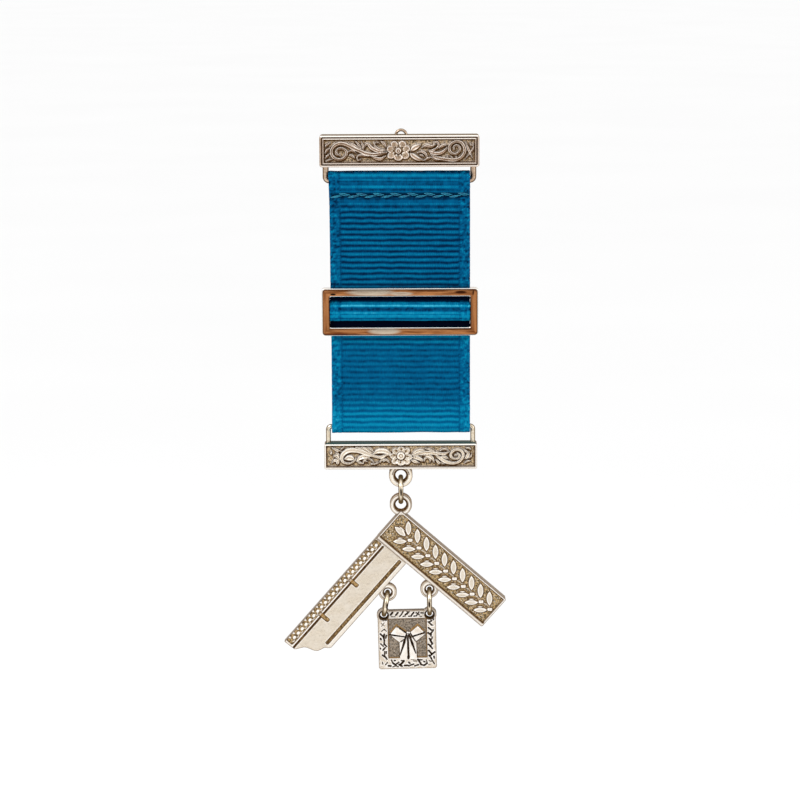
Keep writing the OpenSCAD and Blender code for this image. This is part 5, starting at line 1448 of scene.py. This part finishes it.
def make_ribbon():
    thick, pitch = 0.55, 0.16
    path = ribbon_path()
    closed = np.vstack([path, path[:1]])
    run = np.concatenate([[0], np.cumsum(np.hypot(*np.diff(closed[:, :2], axis=0).T))])
    at = np.arange(0, run[-1], pitch)
    f, z, nf, nz = [np.interp(at, run, closed[:, i]) for i in range(4)]
    n = np.hypot(nf, nz)
    nf, nz = nf / n, nz / n
    k = len(at)
    half = RIBBON_W / 2
    xs = np.concatenate([[-half, -half + 0.05], np.linspace(-half + 0.2, half - 0.2, 86),
                         [half - 0.05, half]])
    F, X = np.meshgrid(f, xs, indexing="ij")
    Z = np.repeat(z[:, None], len(xs), 1)
    front = nf > 0.6
    level_z = Z + RIB_TILT * X
    above = (UPPER_RIB_Z - level_z) / UPPER_PITCH
    below = (LOWER_RIB_Z - level_z) / LOWER_PITCH
    behind = (nf < 0.0)[:, None] & np.ones_like(X, bool)
    phase = np.where((level_z > SLIDE_Z) | behind, above, below) + 0.5
    wobble = 0.07 * rumple(X, Z, 2.2, 5) + 0.04 * rumple(X, Z, 0.7, 6)
    w = np.mod(phase + wobble, 1.0)
    # below the slide the ribs fade, and show again towards the lower turn
    near_slide, near_end = step(-46.0, -42.3, level_z), step(-54.0, -62.5, level_z)
    end_ribs = bell(level_z + 60.6, 2.2)
    mean = np.where(level_z > SLIDE_Z, 0.45, 0.5 + 0.1 * near_slide + 0.38 * near_end)
    swing = np.where(level_z > SLIDE_Z, 0.4, 0.2 + 0.2 * near_slide + 0.2 * end_ribs)
    mean, swing = np.where(behind, 0.5, mean), np.where(behind, 0.4, swing)
    rib = mean - swing * np.cos(2 * math.pi * w)
    # the selvedge: a looser, patchier weave inside a zigzag line
    edge_in = half - abs(X)
    zigzag = 2.4 + 0.22 * (abs(2 * np.mod(2 * phase, 1.0) - 1) * 2 - 1)
    selvedge = edge_in < zigzag
    patches = rumple(X, Z, 0.34, 21) + 0.6 * rumple(X, Z, 0.6, 22)
    rib = np.where(selvedge, 0.12 + 0.7 * mean + 0.3 * rib + 0.42 * patches, rib)
    line = bell(edge_in - zigzag, 0.17)
    rib = rib * (1 - 0.6 * unit(line))
    # the fold's rolls stand out, and their tops are painted lighter as painted highlight
    rolled = rolls(level_z, FOLD_ROLLS, 0.2) * (1 - 0.4 * line) + 0.14 * rumple(X, Z, 0.8, 8)
    rolled = np.where(selvedge, 0.3 + 0.4 * rolled + 0.4 * patches, rolled)
    top_zone = (level_z > FOLD_END_Z) & (nf > 0.05)[:, None]
    rib = np.where(top_zone, rolled, rib)
    over = (nf[:, None] > -0.5) & (F > 0)
    # in the slide's opening the rolls are painted lighter as painted highlight, and the cloth is painted
    # dark towards the rails as painted shade
    in_window = over & (level_z < OPENING_TOP_Z + 0.3) & (level_z > OPENING_LOW_Z - 0.3)
    fade = (step(OPENING_TOP_Z + 0.25, OPENING_TOP_Z - 0.3, level_z)
            * step(OPENING_LOW_Z - 0.25, OPENING_LOW_Z + 0.3, level_z))
    seen_rolls = rolls(level_z, OPENING_ROLLS, 0.25)
    bulge = 0.35 + 0.6 * seen_rolls + 0.4 * patches
    shown = np.where(selvedge, bulge, seen_rolls + 0.15 * patches) * (1 - 0.4 * line)
    rib = np.where(in_window, -0.2 + fade * (shown + 0.2), rib)
    lift = 0.11 * (rib - 0.75) + 0.05 * rumple(X, Z, 5.0, 9)
    edge = np.minimum(edge_in, 0.25) / 0.25
    lift = lift - 0.12 * (1 - np.sqrt(unit(1 - (1 - edge) ** 2)))
    # the left side draws in a little under the fold, and the ribs make both sides uneven
    drawn = np.interp(-Z, DRAWN_AT, DRAWN_IN) * unit((-X) / half)
    side = np.where(edge_in < 0.15, 0.05 * (rib - 0.5) * np.sign(X), 0) + drawn
    dz = Z - SLIDE_Z
    # painted shade where the cloth turns in under the slide's rails
    cloth_shade = np.where(over, step(2.35, 2.75, dz) * step(5.7, 5.3, dz)
                      + step(-2.05, -2.3, dz) * step(-5.7, -5.4, dz), 0)
    # the sewn row sits on a band of painted shade
    band = np.exp(-(abs(Z - STITCH_Z) / 0.62) ** 4) * (nf > 0.05)[:, None] * (edge_in > 0.3)
    cloth_shade = np.maximum(cloth_shade, 0.7 * band)
    # painted shade: the cloth above the slide and at the back is painted darker, but not in the fold or the
    # opening
    upper = np.where((Z > SLIDE_Z) | behind, 0.06, 0.0) * np.where((Z > FOLD_END_Z) | in_window, 0.0, 1.0)
    outer = np.stack([X + side, MID_Y - (F + nf[:, None] * lift), Z + nz[:, None] * lift], -1)
    fi, zi = f - nf * thick, z - nz * thick
    cols = [0, 1, len(xs) // 2, len(xs) - 2, len(xs) - 1]
    inner_x = np.repeat(xs[None, cols], k, 0) + side[:, cols]
    inner = np.stack([inner_x, np.repeat(MID_Y - fi[:, None], len(cols), 1),
                      np.repeat(zi[:, None], len(cols), 1)], -1)
    p = Piece()
    nx, ni = len(xs), len(cols)
    V = np.vstack([outer.reshape(-1, 3), inner.reshape(-1, 3)])
    base = k * nx
    q_out = grid_quads(k, nx, wrap_cols=False)
    q_in = base + grid_quads(k, ni, wrap_cols=False)[:, ::-1]
    a = np.arange(k)
    b = (a + 1) % k
    q_l = np.stack([a * nx, b * nx, base + b * ni, base + a * ni], -1)
    q_r = np.stack([b * nx + nx - 1, a * nx + nx - 1, base + a * ni + ni - 1, base + b * ni + ni - 1], -1)
    faces = turned_out(V, [q_out, q_in, q_l, q_r])
    p.add(V, faces, rib=np.concatenate([np.clip(rib, -0.2, 1.6).ravel(), np.full(k * ni, 0.45)]),
          deep=np.concatenate([unit(cloth_shade).ravel(), np.full(k * ni, 0.25)]),
          dim=np.concatenate([upper.ravel(), np.full(k * ni, 0.3)]))
    cloth = p.make("ribbon_cloth", "mounting", [CLOTH], ["ribbon"], sharp=70)

    # the sewn row under the fold: long loops of two threads, above and below in turn
    s = Piece()
    down = np.argsort(-z[front])
    face_f = np.interp(-STITCH_Z, -z[front][down], f[front][down])
    for q in range(STITCHES):
        mid = SEWN_W * (q / (STITCHES - 1) - 0.5)
        high = 0.24 if q % 2 else -0.24
        lean = 0.3 if q % 2 else -0.18
        for ply in (-1, 1):
            line = []
            for t in np.linspace(-1, 1, THREAD_POINTS):
                out = 0.02 + 0.12 * (1 - t * t) + (0.06 if ply > 0 else 0.0)
                line.append((mid + (1.15 + 0.08 * ply) * t + 0.16 * ply, MID_Y - face_f - out,
                             STITCH_Z - 0.08 + high + 0.15 * ply * (1 - t * t) - lean * t * 0.7))
            radii = 0.03 + 0.085 * np.sqrt(unit(1 - np.linspace(-1, 1, THREAD_POINTS) ** 2))
            s.add(*tube(line, radii, 10))
    sewn = s.make("ribbon_stitches", "mounting", [THREAD])


make_top_bar()
make_bottom_bar()
make_slide()
make_ribbon()
make_square()
make_tablet()
for node, mat in (("main_jump_ring", WIRE), ("left_jump_ring", WIRE), ("right_jump_ring", WIRE),
                  ("brooch_pin", PIN)):
    o = frame["nodes"][node]
    o.data.materials.clear()
    o.data.materials.append(mat)
    o.data.shade_smooth()


# Stage: pale floor, soft light all round with a darker side behind the camera, a key and a fill light
def make_stage():
    mesh = bpy.data.meshes.new("floor")
    r, z = 16.0, -0.36
    mesh.from_pydata([(-r, -r, z), (r, -r, z), (r, r, z), (-r, r, z)], [], [(0, 1, 2, 3)])
    m, tree, bsdf = material("floor_white")
    g = Graph(tree)
    tree.links.new(g.mix(g.noise(3.0, 2.0), (0.9, 0.9, 0.9), (0.93, 0.93, 0.93)), bsdf.inputs["Base Color"])
    bsdf.inputs["Roughness"].default_value = 0.9
    bsdf.inputs["Specular IOR Level"].default_value = 0.0
    mesh.materials.append(m)
    floor = bpy.data.objects.new("floor", mesh)
    bpy.context.scene.collection.objects.link(floor)

    world = bpy.data.worlds.new("studio")
    bpy.context.scene.world = world
    world.use_nodes = True
    tree = world.node_tree
    tree.nodes.clear()
    out = tree.nodes.new("ShaderNodeOutputWorld")
    back = tree.nodes.new("ShaderNodeBackground")
    tree.links.new(back.outputs[0], out.inputs[0])
    coord = tree.nodes.new("ShaderNodeTexCoord")
    split = tree.nodes.new("ShaderNodeSeparateXYZ")
    tree.links.new(coord.outputs["Generated"], split.inputs[0])
    g = Graph(tree)
    dark = g.between(g.times(split.outputs[1], -1.0), 0.45, 0.95)
    sky = g.between(split.outputs[2], 0.35, 0.85)
    level = g.minus(0.92, g.times(dark, 0.4))
    level = g.plus(level, g.times(sky, 0.3))
    tree.links.new(level, back.inputs["Strength"])
    back.inputs["Color"].default_value = (1, 1, 1, 1)

    for name, at, size, power in (("key_light", (-0.45, -0.5, 0.45), 0.3, 2.2),
                                  ("fill_light", (0.6, -0.3, 0.2), 0.4, 1.0)):
        light = bpy.data.lights.new(name, "AREA")
        light.shape, light.size, light.energy = "DISK", size, power
        o = bpy.data.objects.new(name, light)
        bpy.context.scene.collection.objects.link(o)
        o.location = at
        o.rotation_euler = (Vector((0, 0, -0.06)) - Vector(at)).to_track_quat("-Z", "Y").to_euler()


def make_camera():
    cam = bpy.data.cameras.new("camera")
    cam.sensor_width = SENSOR_MM
    cam.lens = FOCAL_PX * SENSOR_MM / PICTURE_PX
    cam.clip_start, cam.clip_end = 0.01, 60.0
    o = bpy.data.objects.new("camera", cam)
    bpy.context.scene.collection.objects.link(o)
    look = Vector((0, math.cos(ELEVATION), -math.sin(ELEVATION)))
    place = Vector((0.0, TARGET_Y, TARGET_Z)) * MM - look * DISTANCE * MM
    right, up = Vector((1, 0, 0)), Vector((0, math.sin(ELEVATION), math.cos(ELEVATION)))
    c, s = math.cos(ROLL), math.sin(ROLL)
    turned = Matrix((right * c - up * s, right * s + up * c, -look)).transposed().to_4x4()
    turned.translation = place
    o.matrix_world = turned
    cam.shift_x = (PICTURE_PX / 2 - CENTRE_PX) / PICTURE_PX
    bpy.context.scene.camera = o


make_stage()
make_camera()
bpy.context.scene.view_settings.view_transform = "Standard"
bpy.context.scene.view_settings.look = "None"
